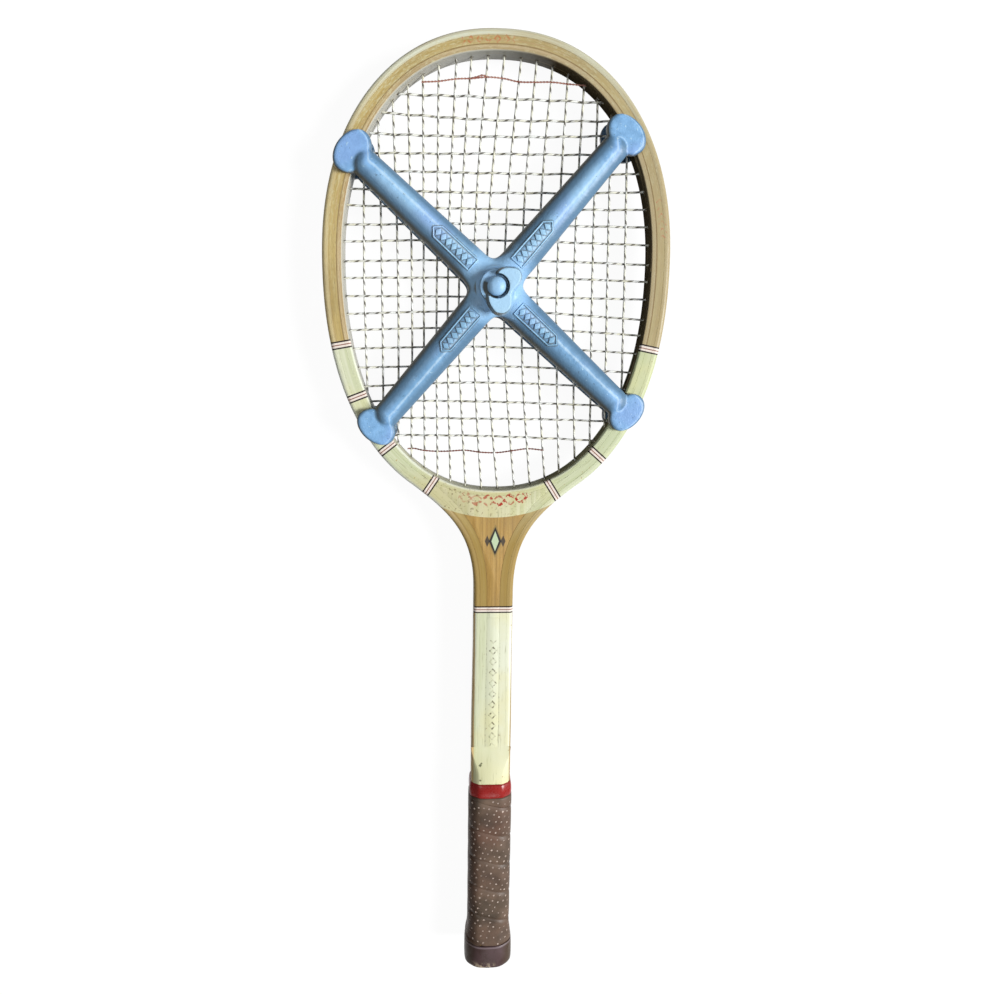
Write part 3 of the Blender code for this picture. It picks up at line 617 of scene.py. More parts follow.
def stud_tree(material):
    tree, sizes = start_growth("studs on points", {"Stud": None, "Least scale": 1.0, "Most scale": 1.0})
    stud = add(tree, "GeometryNodeObjectInfo", {"Object": sizes["Stud"]}).outputs["Geometry"]
    aim, lie = (add(tree, "GeometryNodeInputNamedAttribute", {"Name": name}, data_type="FLOAT_VECTOR")
                for name in ("aim", "lie"))
    upright = add(tree, "FunctionNodeAlignRotationToVector", {"Vector": aim}, axis="Z")
    turned = add(tree, "FunctionNodeAlignRotationToVector", {"Rotation": upright, "Vector": lie}, axis="X",
                 pivot_axis="Z")
    scale = add(tree, "FunctionNodeRandomValue", {2: sizes["Least scale"], 3: sizes["Most scale"], "Seed": 7},
                data_type="FLOAT")
    copies = add(tree, "GeometryNodeInstanceOnPoints",
                 {"Points": sizes["Geometry"], "Instance": stud, "Rotation": turned, "Scale": scale})
    return end_growth(tree, copies, material)


def studs(stud_mesh, points, aims, lies, material, least=1.0, most=1.0):
    """Copies of a small mesh on points that are given in millimetres."""
    stud = placed("stud", stud_mesh)
    source = bpy.data.meshes.new("stud places")
    source.from_pydata(np.asarray(points) * MM, [], [])
    for attribute, values in (("aim", aims), ("lie", lies)):
        made = source.attributes.new(attribute, "FLOAT_VECTOR", "POINT")
        made.data.foreach_set("vector", np.asarray(values, np.float32).ravel())
    mesh = grown(stud_tree(material), {"Stud": stud, "Least scale": least, "Most scale": most}, source)
    bpy.data.objects.remove(stud)
    return mesh


def peg(radius, low, high, sides):
    """A plain round peg about the Z axis, to cut holes with."""
    mesh = bpy.data.meshes.new("peg")
    with editing(mesh) as build:
        bmesh.ops.create_cone(build, cap_ends=True, segments=sides, radius1=radius * MM, radius2=radius * MM,
                              depth=(high - low) * MM)
        bmesh.ops.translate(build, verts=build.verts, vec=(0, 0, (high + low) / 2 * MM))
    return mesh


# Wood

def racket_wood(name, pale, warm, dark, prints=(), ply=False, worn_and_sheen_rim=False):
    """Steam-bent ash or beech under old varnish: long fibres, darker growth bands and short open pores.

    On the faces the lower half of the head and the shaft are painted cream, with inlaid stripes. The cream is
    thin and brushed, so streaks, specks and chips of the wood show through it.
    """
    made, spot = start_material(name)
    x, y, z = spot.parts()
    along, depth = own_map(made, "grain")
    stripe_side, cream_side = own_map(made, "marks")
    lengthwise = vector_of(along, depth, z)

    # Streaks 70 mm long and 2 mm wide, fibres 0.35 mm wide, and pores 4 mm long and 0.2 mm wide
    streaks = noise(lengthwise, (14, 480, 480), 3.0, Distortion=0.3)
    fibres = noise(lengthwise, (70, 2800, 2800), 2.0)
    pores = fading(noise(lengthwise, (230, 4600, 4600), 1.0), 0.72, 0.64, 0.6)
    bands = noise(lengthwise, (5, 720, 720), 1.0)
    age = noise(spot, 26.0, 4.0)
    wood = layered(warm, (pale, fading(streaks, 0.64, 0.38)), (dark, fading(bands, 0.72, 0.56, 0.55)),
                   (dark, fading(fibres, 0.75, 0.42, 0.32)), ("5A4326", pores),
                   ("8A7A58", fading(age, 0.75, 0.5, 0.45)))

    # Handling has worn the varnish off the outer edge at the tip and left it pale and grey, and the paleness
    # is
    #  also a painted sheen, where the rounded edge catches the light
    if worn_and_sheen_rim:
        tip = fading(y, level(18), level(70), 1.0, 0.15)
        worn = fading(depth, 0.0036, 0.0054) * tip * fading(streaks, 0.5, 0.35, 1.0, 0.5)
        wood = layered(wood, ("E4E8D2", worn))

    # Pale scuffs on the upper half of the head, pinkish streaks, and more grey to the right
    scuffs = noise(lengthwise, (300, 1000, 1000), 4.0, Roughness=0.65)
    pink = noise(lengthwise, (8, 1100, 1100), 1.0)
    wood = layered(wood, ("DFDCB4", fading(scuffs, 0.64, 0.5, 0.55) * fading(y, level(50), level(190))),
                   ("C29C7C", fading(pink, 0.7, 0.54, 0.28 if ply else 0.1)),
                   ("A79C7C", fading(x, 0.11, -0.08, 0.6 if ply else 0.2)))
    gloss, coat = 0.26, 0.09
    # A ply's inner wall, painted dark as painted shade at the right, is also made matt there
    if ply:
        wood, matt = with_glue_and_wall(wood, x, y, depth, streaks)
        gloss, coat = gloss - matt * gloss, coat - matt * coat

    # The paint covers the faces of the lower hoop and of the shaft down to the collar, but not its left edge
    on_shaft = y < level(SHAFT_STRIPE)
    height = abs(z - MIDDLE_Z * MM) + streaks * 0.0012
    on_face = fading(height, CREAM_EDGE_Z * MM + 0.4 * MM, CREAM_EDGE_Z * MM)
    _, _, reach, radius = from_cream_circle(x, y)
    on_head = higher(reach < radius * MM, y > level(293)) * (cream_side > 0.0)
    shaft_paint = on_shaft * fading(x + streaks * 0.0016, -0.0119, -0.0123) * fading(x, 0.0134, 0.0139)
    zone = higher(on_head, shaft_paint * (y > level(COLLAR[1])))
    chips = noise(spot, 420.0, 2.0)
    whole = on_face * fading(chips, 0.71, 0.735)
    cream = cream_paint(spot, depth if ply else None, lengthwise, age, on_shaft)
    # Painted light: the bare left edge of the shaft is lightened to tan, where its rounding turns from the
    # lamp
    colour = layered(wood, ("DCC08A", on_shaft * fading(x, -0.0121, -0.0114, 0.75)), (cream, zone * whole))
    colour = with_prints(colour, prints, (x, y, depth), fibres, chips)

    # Each inlaid stripe is a brown line on pinkish white between two black lines
    stripe = calc("MINIMUM", abs(stripe_side), abs(y - level(SHAFT_STRIPE)))
    for edge, paint in ((STRIPE_HALF, "2A221E"), (1.62, "EFE3D8"), (0.32, "8E5B4B")):
        colour = layered(colour, (paint, fading(stripe, (edge - 0.06) * MM, (edge + 0.06) * MM) * whole))
    return finished(made, colour, fading(age, 0.7, 0.35, 0.56, 0.34), (0.25, 0.0002, fibres - pores),
                    Specular_IOR_Level=gloss, Coat_Weight=coat, Coat_Roughness=0.22)


def with_glue_and_wall(wood, x, y, depth, streaks):
    """A ply with golden bows at the throat and a brown glue line, and the hoop's inner wall.

    The wall is grey at the left, dark brown and matt at the right, where the brown is painted shade, and
    olive towards the foot.
    """
    on_wall = fading(depth, 12.9 * MM, 12.3 * MM)
    # Painted shade: the wall darkens towards its right side, which faces away from the lamp
    dark = fading(x, 0.035, -0.01)
    foot = fading(y, level(264), level(226)) * (1.0 - dark * 0.4)
    wall = layered("B6B8B0", ("33261A", dark), ("C6C79E", foot))
    wood = layered(wood, ("9F8038", fading(y, level(330), level(300), 0.7)),
                   ("86683C", fading(abs(depth - 9.6 * MM), 0.15 * MM, 0.6 * MM, 0.6)),
                   (wall, on_wall * fading(streaks, 0.4, 0.3, 0.85)))
    return wood, on_wall * dark


def cream_paint(spot, depth, lengthwise, age, on_shaft):
    """Cream paint, brushed on along the hoop and down the shaft, yellowed at the foot and scratched."""
    x, y, _ = spot.parts()
    straight = {"Factor": on_shaft, "A": lengthwise, "B": vector_of(y, x, 0.0)}
    lengthwise = Wire(add(tree_of(x), MIX, straight, data_type="VECTOR"))
    foot = (y > level(330)) * fading(y, level(292), level(274)) * fading(x, -0.02, 0.05, 0.6)
    cream = layered("C7CEA4", ("E0E3C6", fading(noise(lengthwise, (9, 330, 330), 4.0), 0.66, 0.35)),
                    ("EFF2DC", on_shaft * fading(x, 0.008, -0.0125, 0.85)),
                    ("E4E0AC", fading(y, level(505), level(470), 0.6)),
                    ("BAC69C", fading(x, 0.09, 0.02, 0.6) * (1.0 - on_shaft)),
                    ("E3DC9C", fading(age, 0.72, 0.5, 0.5)), ("CBBE8C", foot),
                    ("6A4B2A", fading(noise(spot, 520.0, 2.0), 0.68, 0.61) * foot))
    # Painted highlight: the cream is whitened along the outer and inner roundings, fading out towards the
    # right
    if depth:
        edge = higher(fading(depth, 0.0004, 0.0026, 0.8), fading(depth, 0.0129, 0.0116, 0.5))
        cream = layered(cream, ("F6FAF0", edge * fading(x, 0.0, 0.07)))
    return layered(cream, ("9A9A6C", fading(noise(lengthwise, (60, 900, 900), 3.0), 0.72, 0.62, 0.5)))


def from_cream_circle(x, y):
    """The ways sideways and down from the centre of the circle that bounds the cream at the foot of the head.

    With them, in metres, come the reach from the centre and, in millimetres, the circle's radius.
    """
    centre, radius = circle_through(*[(place, down(distance)) for place, distance in CREAM_ARC])
    sideways, below = x - centre[0] * MM, centre[1] * MM - y
    return sideways, below, length_of(sideways, below, 0.0), radius


def with_prints(colour, prints, place, fibres, chips):
    """Plain ornaments, printed once and now rubbed: a ribbon, lozenges, chevrons and a column of diamonds."""
    x, y, depth = place
    worn = fading(chips, 0.44, 0.56)

    def near(value, middle, half):
        return fading(abs(value - middle * MM), (half - 0.12) * MM, (half + 0.12) * MM)

    def lozenge(across, along, half_across, half_along):
        return abs(across) / (half_across * MM) + abs(along) / (half_along * MM)

    def repeated(value, pitch):
        return calc("PINGPONG", value, pitch / 2 * MM) - pitch / 4 * MM

    if "ribbon" in prints:
        sideways, below, reach, radius = from_cream_circle(x, y)
        along = calc("ARCTAN2", sideways, below) * (radius * MM)
        off = reach - (radius - RIBBON_RISE) * MM
        wave = calc("SINE", along * (math.tau / (RIBBON_PITCH * MM))) * (RIBBON_WAVE * MM)
        plait = higher(near(off - wave, 0.0, 1.3), near(off + wave, 0.0, 0.8) * 0.75) * near(along, 0.0, 28.0)
        plait = plait * fading(chips, 0.47, 0.56) * fading(along, 0.004, -0.045)
        colour = layered(colour, ("B0301F", plait))
    if "lozenges" in prints:
        shape = lozenge(depth - 6.6 * MM, repeated(x, 11.0), 2.7, 2.4)
        ring = fading(shape, 0.95, 1.05) * fading(shape, 0.5, 0.4, 0.75) * near(x, -8.4, 16.4)
        chevron = repeated(y + abs(depth - 5.6 * MM), 9.0)
        chevron = near(chevron, 0.0, 0.55) * near(depth, 5.6, 2.6) * near(y, 229.0, 13.5) * (x > 0.0)
        rubbed = worn * fading(fibres, 0.35, 0.6)
        colour = layered(colour, ("C4623E", ring * fading(y, 0.30, 0.29) * (worn * 0.75)),
                         ("C0473C", chevron * (rubbed * 0.75)))
    if "emblem" in prints:
        across, along = x - 0.6 * MM, y - 10.3 * MM
        colour = layered(colour, ("6F6A45", fading(lozenge(across, along, 5.2, 12.2), 0.97, 1.03, 0.5)),
                         ("1D1E24", fading(lozenge(across, along, 4.3, 10.2), 0.97, 1.05, 0.95)),
                         ("BED0AC", fading(lozenge(across, along, 2.6, 7.2), 0.96, 1.06)))
        for aside in (-5.6, 5.6):
            wing = lozenge(across - aside * MM, along, 1.7, 4.2)
            colour = layered(colour, ("2C2C30", fading(wing, 0.95, 1.1, 0.85)))
    if "column" in prints:
        across = x - 0.4 * MM
        shape = lozenge(across, repeated(y, 17.0), 3.0, 3.4)
        diamonds = fading(shape, 0.95, 1.08) * fading(shape, 0.66, 0.5)
        lines = higher(near(abs(across), 4.9, 0.3) * 0.35, diamonds) * near(y, -106.0, 42.0)
        colour = layered(colour, ("8F8A5C", lines * 0.22), ("4B4428", lines * fading(chips, 0.6, 0.52) * 0.8))
        for dent_x, dent_y, size in ((-8.1, -163.0, 1.5), (-8.0, -174.7, 1.1), (-7.2, -161.6, 1.0)):
            dent = lozenge(x - dent_x * MM, y - dent_y * MM, size, size)
            colour = layered(colour, ("4E5230", fading(dent, 0.6, 1.1, 0.85)))
    return colour


def circle_through(a, b, c):
    """The centre and radius of the circle through three points."""
    a, b, c = (np.array(p, float) for p in (a, b, c))
    sides = 2 * np.array([b - a, c - a])
    centre = np.linalg.solve(sides, [b @ b - a @ a, c @ c - a @ a])
    return centre.tolist(), float(np.linalg.norm(centre - a))


def stripe_planes():
    """For each stripe, a place on it and the direction along the hoop there.

    Where the bows have left the oval of the head, the direction is halfway between theirs.
    """
    paths = [oval_at(a) for a in np.linspace(0, math.tau, 1200)], list(zip(*bow_path()[:2]))
    planes = []
    for x, distance in STRIPES:
        place = np.array([x, down(distance)])

        def off_middle(step):
            return np.linalg.norm(step[0] - step[1] * HOOP_WIDTH / 2 - place)

        out = sum(min(path, key=off_middle)[1] for path in paths)
        out = out / np.linalg.norm(out)
        planes.append((place, np.array([-out[1], out[0]])))
    return planes


def marks_on(rings):
    """For each place, its signed way to the nearest stripe and how far below the first stripes it lies.

    Both are in metres. Along each side every other stripe is measured the other way round, so that the way
    never passes zero between two of them.
    """
    flat = np.asarray(rings)[:, :, :2]
    planes = stripe_planes()
    offsets = np.array([(flat - place) @ along for place, along in planes])
    reaches = np.array([np.linalg.norm(flat - place, axis=2) for place, _ in planes])
    turned = offsets * np.array(STRIPE_TURNS)[:, None, None]
    stripe = np.take_along_axis(turned, np.argmin(reaches, axis=0)[None], axis=0)[0]
    stripe = np.where(np.min(reaches, axis=0) < STRIPE_NEAR, stripe, np.copysign(FAR_FROM_MARKS, stripe))
    cream = np.where(flat[:, :, 0] < 0, offsets[0], -offsets[1])
    return np.stack([stripe, cream], -1) * MM


def swept_ply(points, outs, lengths, profile_at, closed):
    """A bent strip from its stations and a function that gives its profile, (depth, z) points, at each."""
    profiles = [profile_at(k) for k in range(len(points))]
    rings = [np.column_stack([points[k] - np.outer(profile[:, 0], outs[k]), MIDDLE_Z + profile[:, 1]])
             for k, profile in enumerate(profiles)]
    marks = marks_on(rings)
    marks = np.concatenate([marks, marks[:, :1]], axis=1)
    depths = np.append(profiles[0][:, 0], profiles[0][0, 0])
    grain = places_on(lengths, depths)
    if closed:
        rings = rings[:-1]
    return skin(rings, {"grain": grain, "marks": marks}, closed)


def mirrored_profile(upper):
    """A ply's profile from its upper half, which runs over the top from one edge to the other."""
    upper = np.array(upper)
    return np.concatenate([upper, upper[::-1] * (1, -1)])


def outer_profile(groove):
    """The outer ply's section: a rounded outer edge, and a groove for the string loops in its side."""
    end = OUTER_PLY[1]
    across, drop = ROUNDING
    upper = [(end, FACE_Z - 0.1), (end - 0.1, FACE_Z)]
    for turn in np.radians(np.linspace(90, 0, 8)):
        upper.append((across * (1 - math.cos(turn)), FACE_Z - drop + drop * math.sin(turn)))
    for turn in np.radians(np.linspace(90, 8, 7)):
        upper.append((groove * GROOVE_DEPTH * math.cos(turn), GROOVE_HALF * math.sin(turn)))
    return mirrored_profile(upper)


def inner_profile():
    start, end = INNER_PLY
    round_off = 1.2
    upper = [(start, FACE_Z - 0.1), (start + 0.1, FACE_Z)]
    for turn in np.radians(np.linspace(90, 0, 7)):
        upper.append((end - round_off + round_off * math.cos(turn),
                      FACE_Z - round_off + round_off * math.sin(turn)))
    upper.append((end, 2.5))
    return mirrored_profile(upper)


def middle_profile():
    start, end = MIDDLE_PLY
    return mirrored_profile([(end, FACE_Z - 0.1), (end - 0.1, FACE_Z),
                             (start + 0.1, FACE_Z), (start, FACE_Z - 0.1)])


def hole_cutter(material):
    """Pegs where the strings pass through the hoop."""
    points, aims = [], []
    for (kind, _, _), angle in HOLES.items():
        point, out = oval_at(angle)
        points.append((*(point - out * (HOOP_WIDTH + 1)), hole_height(kind)))
        aims.append((*out, 0.0))
    return studs(peg(HOLE_RADIUS, 0, HOOP_WIDTH + 3, 14), points, aims, [(0, 0, 1)] * len(points), material)


def foot_groove_cutter():
    """The hidden channel behind the inner ply where the loops at the throat lie."""
    low = HOLES["main", FOOT_LOOPS[0], "foot"] - FOOT_GROOVE_OVER
    high = HOLES["main", FOOT_LOOPS[1], "foot"] + FOOT_GROOVE_OVER
    rings = []
    for angle in np.linspace(low, high, 40):
        near, far = (oval_inside(angle, depth) for depth in FOOT_GROOVE)
        top, bottom = MIDDLE_Z - LAYER + 1.4, MIDDLE_Z - LAYER - 1.4
        rings.append([(*near, top), (*far, top), (*far, bottom), (*near, bottom)])
    return skin(rings, {})


def make_hoop():
    """The hoop's three plies, drilled for the strings."""
    golden = racket_wood("bent ash, varnished", "D2BC80", "BFA261", "8F7238", ("lozenges",), True, True)
    brown = racket_wood("bent ash, middle ply", "D1BE84", "BDA464", "86703A", ("lozenges", "column"), True)
    inner = racket_wood("bent ash, inner ply", "D3C096", "BFA777", "937A4C", ("ribbon",), True)
    holes = hole_cutter(golden)

    points, outs, lengths = bow_path()
    flare_start = lengths[np.argmin(np.linalg.norm(points - oval_at(FLARE_ANGLE)[0], axis=1))]
    flare_end = lengths[-1] - flare_start
    fade = np.minimum(eased(lengths, flare_start - GROOVE_FADE, flare_start),
                      eased(lengths, flare_end + GROOVE_FADE, flare_end))
    outer = swept_ply(points, outs, lengths, lambda k: outer_profile(fade[k]), False)
    dress("hoop_outer", carved(outer, holes), golden, "racket", "hoop_outer_ply")
    middle = swept_ply(points, outs, lengths, lambda k: middle_profile(), False)
    dress("hoop_middle", carved(middle, holes), brown, "racket", "hoop_middle_ply")

    ring = spaced([oval_at(a) for a in np.linspace(0, math.tau, 1200)], STATION)
    strip = swept_ply(*ring, lambda k: inner_profile(), True)
    strip = carved(carved(strip, holes), foot_groove_cutter())
    dress("hoop_inner", strip, inner, "racket", "hoop_inner_ply")


def flat_block(outline, low, high, rounding):
    """A block between two heights from its outline, with finely rounded edges and its grain along Y."""
    rings = [np.column_stack([outline, np.full(len(outline), z)]) for z in (low, high)]
    mesh = shaped(skin(rings, {}), "BEVEL", width=rounding * MM, segments=2, limit_method="ANGLE",
                  angle_limit=math.radians(50))
    return grain_down(mesh)


def wood_block(outline):
    """A block as thick as the racket's frame."""
    return flat_block(outline, MIDDLE_Z - FACE_Z, MIDDLE_Z + FACE_Z, 0.08)


def corner_places(mesh):
    """Where each face corner lies, in metres."""
    return values_of(mesh.vertices, "co", 3)[values_of(mesh.loops, "vertex_index", kind=np.int32)]


def grain_down(mesh):
    """Gives a mesh the wood's maps: grain along Y, and places far from the stripes and the paint's edges."""
    places = corner_places(mesh)
    set_map(mesh, "grain", places[:, [1, 0]])
    set_map(mesh, "marks", np.full((len(places), 2), FAR_FROM_MARKS * MM))
    return mesh


def make_throat():
    """The wedge between the bows and the core strip that carries on below it to the butt."""
    warm = racket_wood("beech throat wedge", "C4A05A", "B08A46", "8A6832", ("ribbon", "emblem", "column"))
    depth = INNER_PLY[0]
    rim = [oval_inside(angle, depth - 0.04)
           for angle in np.linspace(FLARE_ANGLE, math.pi - FLARE_ANGLE - math.tau, 400)]
    side = []
    for t in np.linspace(0.05, 1, 160):
        point, out = flare_at(t)
        place = point - out * depth
        if min(np.linalg.norm(place - p) for p in rim) > 0.25 and (side or place[1] < rim[0][1]):
            side.append(place)
    side = side[::2] + [side[-1], np.array([SHAFT_WIDTHS[0][1] - depth, down(WEDGE_FOOT)])]
    mirror = np.array([-1.0, 1.0])
    top = [p for p in rim if abs(p[0]) < side[0][0] + 0.1][::2]
    wedge = wood_block(side + [p * mirror for p in side[::-1]] + top[::-1])

    # Cut across between the two stripes, so that each corner of its face has a true way to its own stripe
    with editing(wedge) as build:
        for x in (-20, 20):
            bmesh.ops.bisect_plane(build, geom=build.verts[:] + build.edges[:] + build.faces[:],
                                   plane_co=(x * MM, 0, 0), plane_no=(1, 0, 0))
    places = corner_places(wedge)[:, :2] / MM
    (left, left_way), (right, right_way) = stripe_planes()[-2:]
    stripe = np.where(places[:, 0] < 0, (left - places) @ left_way, (places - right) @ right_way)
    set_map(wedge, "marks", np.column_stack([stripe, np.full(len(stripe), FAR_FROM_MARKS)]) * MM)
    dress("throat", wedge, warm, "racket", "throat_wedge")

    spans = [(shaft_half(d) - depth, down(d)) for d in (WEDGE_FOOT + 0.04, 410, 440, 470, LENGTH)]
    core = wood_block(spans + [(-x, y) for x, y in spans[::-1]])
    dress("core_strip", core, warm, "racket", "shaft_core")


# The handle

def cheek_rise(distance):
    return 0.02 + (CHEEK_HEIGHT + 0.2) * eased(distance, CHEEK_TOP, CHEEK_FULL) + butt_flare(distance)


def butt_flare(distance):
    return FLARE_OUT * float(eased(distance, FLARE_TOP, FLARE_FULL))


def handle_place(distance, grow, angle, sharpness=16.0):
    """A place on the handle's rounded octagon, grown outwards, at an angle round its own length."""
    half_x = HANDLE_HALF + butt_flare(distance) + grow
    half_z = FACE_Z + 0.1 + float(cheek_rise(distance)) + grow
    spread = 0.41 * grow
    side, top = SIDE_FLAT + spread, TOP_FLAT + spread
    normal = np.array([half_z - side, half_x - top])
    normal = normal / np.linalg.norm(normal)
    slant = normal @ (half_x, side)
    total = 0.0
    for way, reach in (((1, 0), half_x), ((0, 1), half_z), (normal, slant), ((-normal[0], normal[1]), slant)):
        facing = abs(way[0] * math.cos(angle) + way[1] * math.sin(angle))
        total += (facing / reach) ** sharpness
    reach = total ** (-1 / sharpness)
    return reach * math.cos(angle), down(distance), MIDDLE_Z + reach * math.sin(angle)


def turned_skin(places, sharpness=16.0, crown=0.0):
    """A closed sleeve round the handle from its (distance, grow) places, with its map of lengths.

    The crown is how much its outside swells over the middle of the front and the back.
    """
    rings = []
    for distance, grow in places:
        swell = crown if grow > 0.2 else 0.0
        rings.append([handle_place(distance, grow + swell * abs(math.sin(angle)) ** 6, angle, sharpness)
                      for angle in np.linspace(0, math.tau, SLEEVE_SIDES, endpoint=False)])
    travelled = np.concatenate([[0], np.cumsum([math.dist(a, b) for a, b in zip(places, places[1:])])])
    travelled = np.append(travelled, travelled[-1] + math.dist(places[-1], places[0]))
    around = np.linspace(0, 90.0, SLEEVE_SIDES + 1)
    return skin(rings, {"surface": places_on(travelled, around)}, closed=True)


def make_cheeks():
    """The two slabs that bring the flat shaft up to the handle's eight sides, painted with the shaft."""
    wood = racket_wood("beech handle cheeks", "C8A55E", "B58D49", "8C6A38", ("column",))
    distances = (*np.linspace(CHEEK_TOP, CHEEK_FULL, 25), 600, FLARE_TOP, 650, FLARE_FULL, LENGTH)
    for name, node, side in (("front_cheek", "handle_front_cheek", 1),
                             ("back_cheek", "handle_back_cheek", -1)):
        rings = []
        for distance in distances:
            rise = float(cheek_rise(distance))
            foot = 14.3 - 0.3 * rise + butt_flare(distance)
            top = foot - 1.35 * rise
            slope = [(foot, 0), (foot - 0.15, 0.12), (top + 0.5, 0.9), (top - 0.4, 1)]
            rings.append([(x, down(distance), MIDDLE_Z + side * (FACE_Z + 0.01 + rise * share))
                          for x, share in slope + [(-x, share) for x, share in slope[::-1]]])
        dress(name, grain_down(skin(rings, {})), wood, "racket", node)


def make_collar():
    """The red plastic ring that finishes the top of the leather."""
    start, end = COLLAR
    outside = [(distance, COLLAR_WALL + lift) for distance, lift in
               ((end, 0), (end - 1.2, 0.3), (end - 3.4, 0.5), (start + 5, 0.45), (start + 2.6, 0.2),
                (start + 1.1, -0.15), (start + 0.25, -0.5))]
    mesh = turned_skin([(start, 0.1), (end, 0.1)] + outside, 30.0, 0.6)
    dress("collar_ring", mesh, red_plastic(), "racket", "grip_collar", 60)


def make_grip():
    """One strip of leather wound down the handle, its edges skived thin and its face punched with holes."""
    turns = (LEATHER_END - LEATHER_START + LEATHER_WIDTH) / LEATHER_PITCH
    per_turn, across = 72, 15
    rings, strip_places = [], []
    travelled = 0.0
    for k in range(2, int(turns * per_turn) - 1):
        turn = k / per_turn
        angle = math.pi - math.tau * turn
        end = LEATHER_START + LEATHER_PITCH * turn
        low, high = min(end, LEATHER_END), max(end - LEATHER_WIDTH, LEATHER_START)
        ring = []
        for share in np.linspace(0, 1, across):
            edge = min(share, 1 - share) * (low - high)
            skive = 1 - 0.55 * max(0.0, 1 - edge / 0.9) ** 2
            lift = UNDER_LEATHER + LEATHER * skive + 0.16 * math.sin(math.pi * share)
            ring.append(handle_place(high + (low - high) * share, lift, angle))
        ring += [handle_place(high + (low - high) * share, UNDER_LEATHER, angle)
                 for share in (1, 0.66, 0.33, 0)]
        if rings:
            travelled += math.dist(ring[across // 2], rings[-1][across // 2])
        rings.append(ring)
        strip_places.append((travelled, angle, high, low))
    strip_places = np.array(strip_places).T
    shares = np.concatenate([np.linspace(0, LEATHER_WIDTH, across), (LEATHER_WIDTH, 16, 8, 0, 0)])
    mesh = skin(rings, {"surface": places_on(strip_places[0], shares)})
    leather, dust = grip_leather(), hole_dust()
    for material in (leather, dust):
        mesh.materials.append(material)
    mesh = carved(mesh, perforations(strip_places, leather, dust))
    dress("leather_wrap", mesh, None, "racket", "leather_grip", 50)


def perforations(strip_places, leather, dust):
    """Pegs for the small holes in the strip, in staggered rows with the unevenness of old punched leather."""
    rng = np.random.default_rng(11)
    travelled = strip_places[0]
    pitch_along, pitch_across = HOLE_PITCH
    points, aims = [], []
    for column in range(int(travelled[-1] / pitch_along)):
        for row in range(5):
            spot = column * pitch_along + (row % 2) * pitch_along / 2 + rng.normal(0, 0.55)
            offset = (row - 2) * pitch_across + rng.normal(0, 0.5)
            if rng.random() < 0.06 or not travelled[0] < spot < travelled[-1]:
                continue
            angle, high, low = (float(np.interp(spot, travelled, values)) for values in strip_places[1:])
            distance = (high + low) / 2 + offset
            if high + 1.4 < distance < low - 1.4:
                points.append(handle_place(distance, UNDER_LEATHER + LEATHER, angle))
                aims.append((math.cos(angle), 0.0, math.sin(angle)))
    holes = studs(peg(0.7, -0.14, 1.5, 9), points, aims, [(0, 1, 0)] * len(points), dust, 0.8, 1.25)
    holes.materials.clear()
    for material in (leather, dust):
        holes.materials.append(material)
    holes.polygons.foreach_set("material_index", np.ones(len(holes.polygons), np.int32))
    return holes


def make_butt_band():
    """The dark leather band pulled tight round the flared butt."""
    start, end = BAND
    outside = [(distance, UNDER_LEATHER + LEATHER + lift) for distance, lift in
               ((end, -0.7), (end - 0.3, -0.3), (end - 1.0, 0.05), (end - 2.4, 0.25), (end - 5, 0.35),
                (end - 10, 0.3), (FLARE_FULL, 0.2), (FLARE_FULL - 2, 0.15), (start + 1.2, 0.1),
                (start + 0.5, 0.05), (start, -0.25))]
    inside = [(start, 0.4), (FLARE_FULL, 0.4), (end, 0.4)]
    mesh = turned_skin(outside + inside, 12.0)
    dress("butt_leather_band", mesh, butt_leather(), "racket", "butt_band", 60)


# Strings

def wander(rng, reach):
    """How far a string wanders sideways from its smooth line, as a function of the share of its run."""
    waves = [(rng.normal(0, reach / n), n, rng.uniform(0, math.tau)) for n in (2, 3, 5, 8)]
    return lambda t: sum(a * np.sin(n * math.pi * t + p) for a, n, p in waves) * np.sin(math.pi * t) ** 0.5


def run_between(start, end, middle, axis, drift):
    """A string's run as 121 places in the racket's plane, bowed through a middle and wandering a little."""
    t = np.linspace(0, 1, 121)
    points = start + (end - start) * t[:, None]
    bow = middle - (start[axis] + end[axis]) / 2
    points[:, axis] += bow * np.sin(math.pi * t) + drift(t)
    return points


def woven_runs():
    """The runs of both string sets, with each crossing's place and height."""
    rng = np.random.default_rng(5)
    mains, crosses = [], []
    for k, middle in enumerate(MAIN_MIDDLE_X):
        ends = [oval_inside(HOLES["main", k, end], HOOP_WIDTH) for end in ("tip", "foot")]
        mains.append(run_between(*ends, middle, 0, wander(rng, 0.28)))
    for k, distance in enumerate(CROSS_MIDDLE):
        ends = [oval_inside(HOLES["cross", k, end], HOOP_WIDTH) for end in ("left", "right")]
        crosses.append(run_between(*ends, down(distance), 1, wander(rng, 0.28)))
    main_knots = [[(0.0, -LAYER), (120.0, -LAYER)] for _ in mains]
    cross_knots = [[(0.0, LAYER), (120.0, LAYER)] for _ in crosses]
    steps = np.arange(121.0)
    for i, main in enumerate(mains):
        for j, cross in enumerate(crosses):
            y = cross[:, 1].mean()
            for _ in range(12):
                x = np.interp(-y, -main[:, 1], main[:, 0])
                y = np.interp(x, cross[:, 0], cross[:, 1])
            at_main, at_cross = np.interp(-y, -main[:, 1], steps), np.interp(x, cross[:, 0], steps)
            if not (1.5 < at_main < 118.5 and 1.5 < at_cross < 118.5):
                continue
            over = 1 if (i + j) % 2 else -1
            main_knots[i].append((at_main, -WEAVE[0] * over))
            cross_knots[j].append((at_cross, WEAVE[1] * over))
    return [waved(run, knots) for run, knots in zip(mains, main_knots)], \
        [waved(run, knots) for run, knots in zip(crosses, cross_knots)]


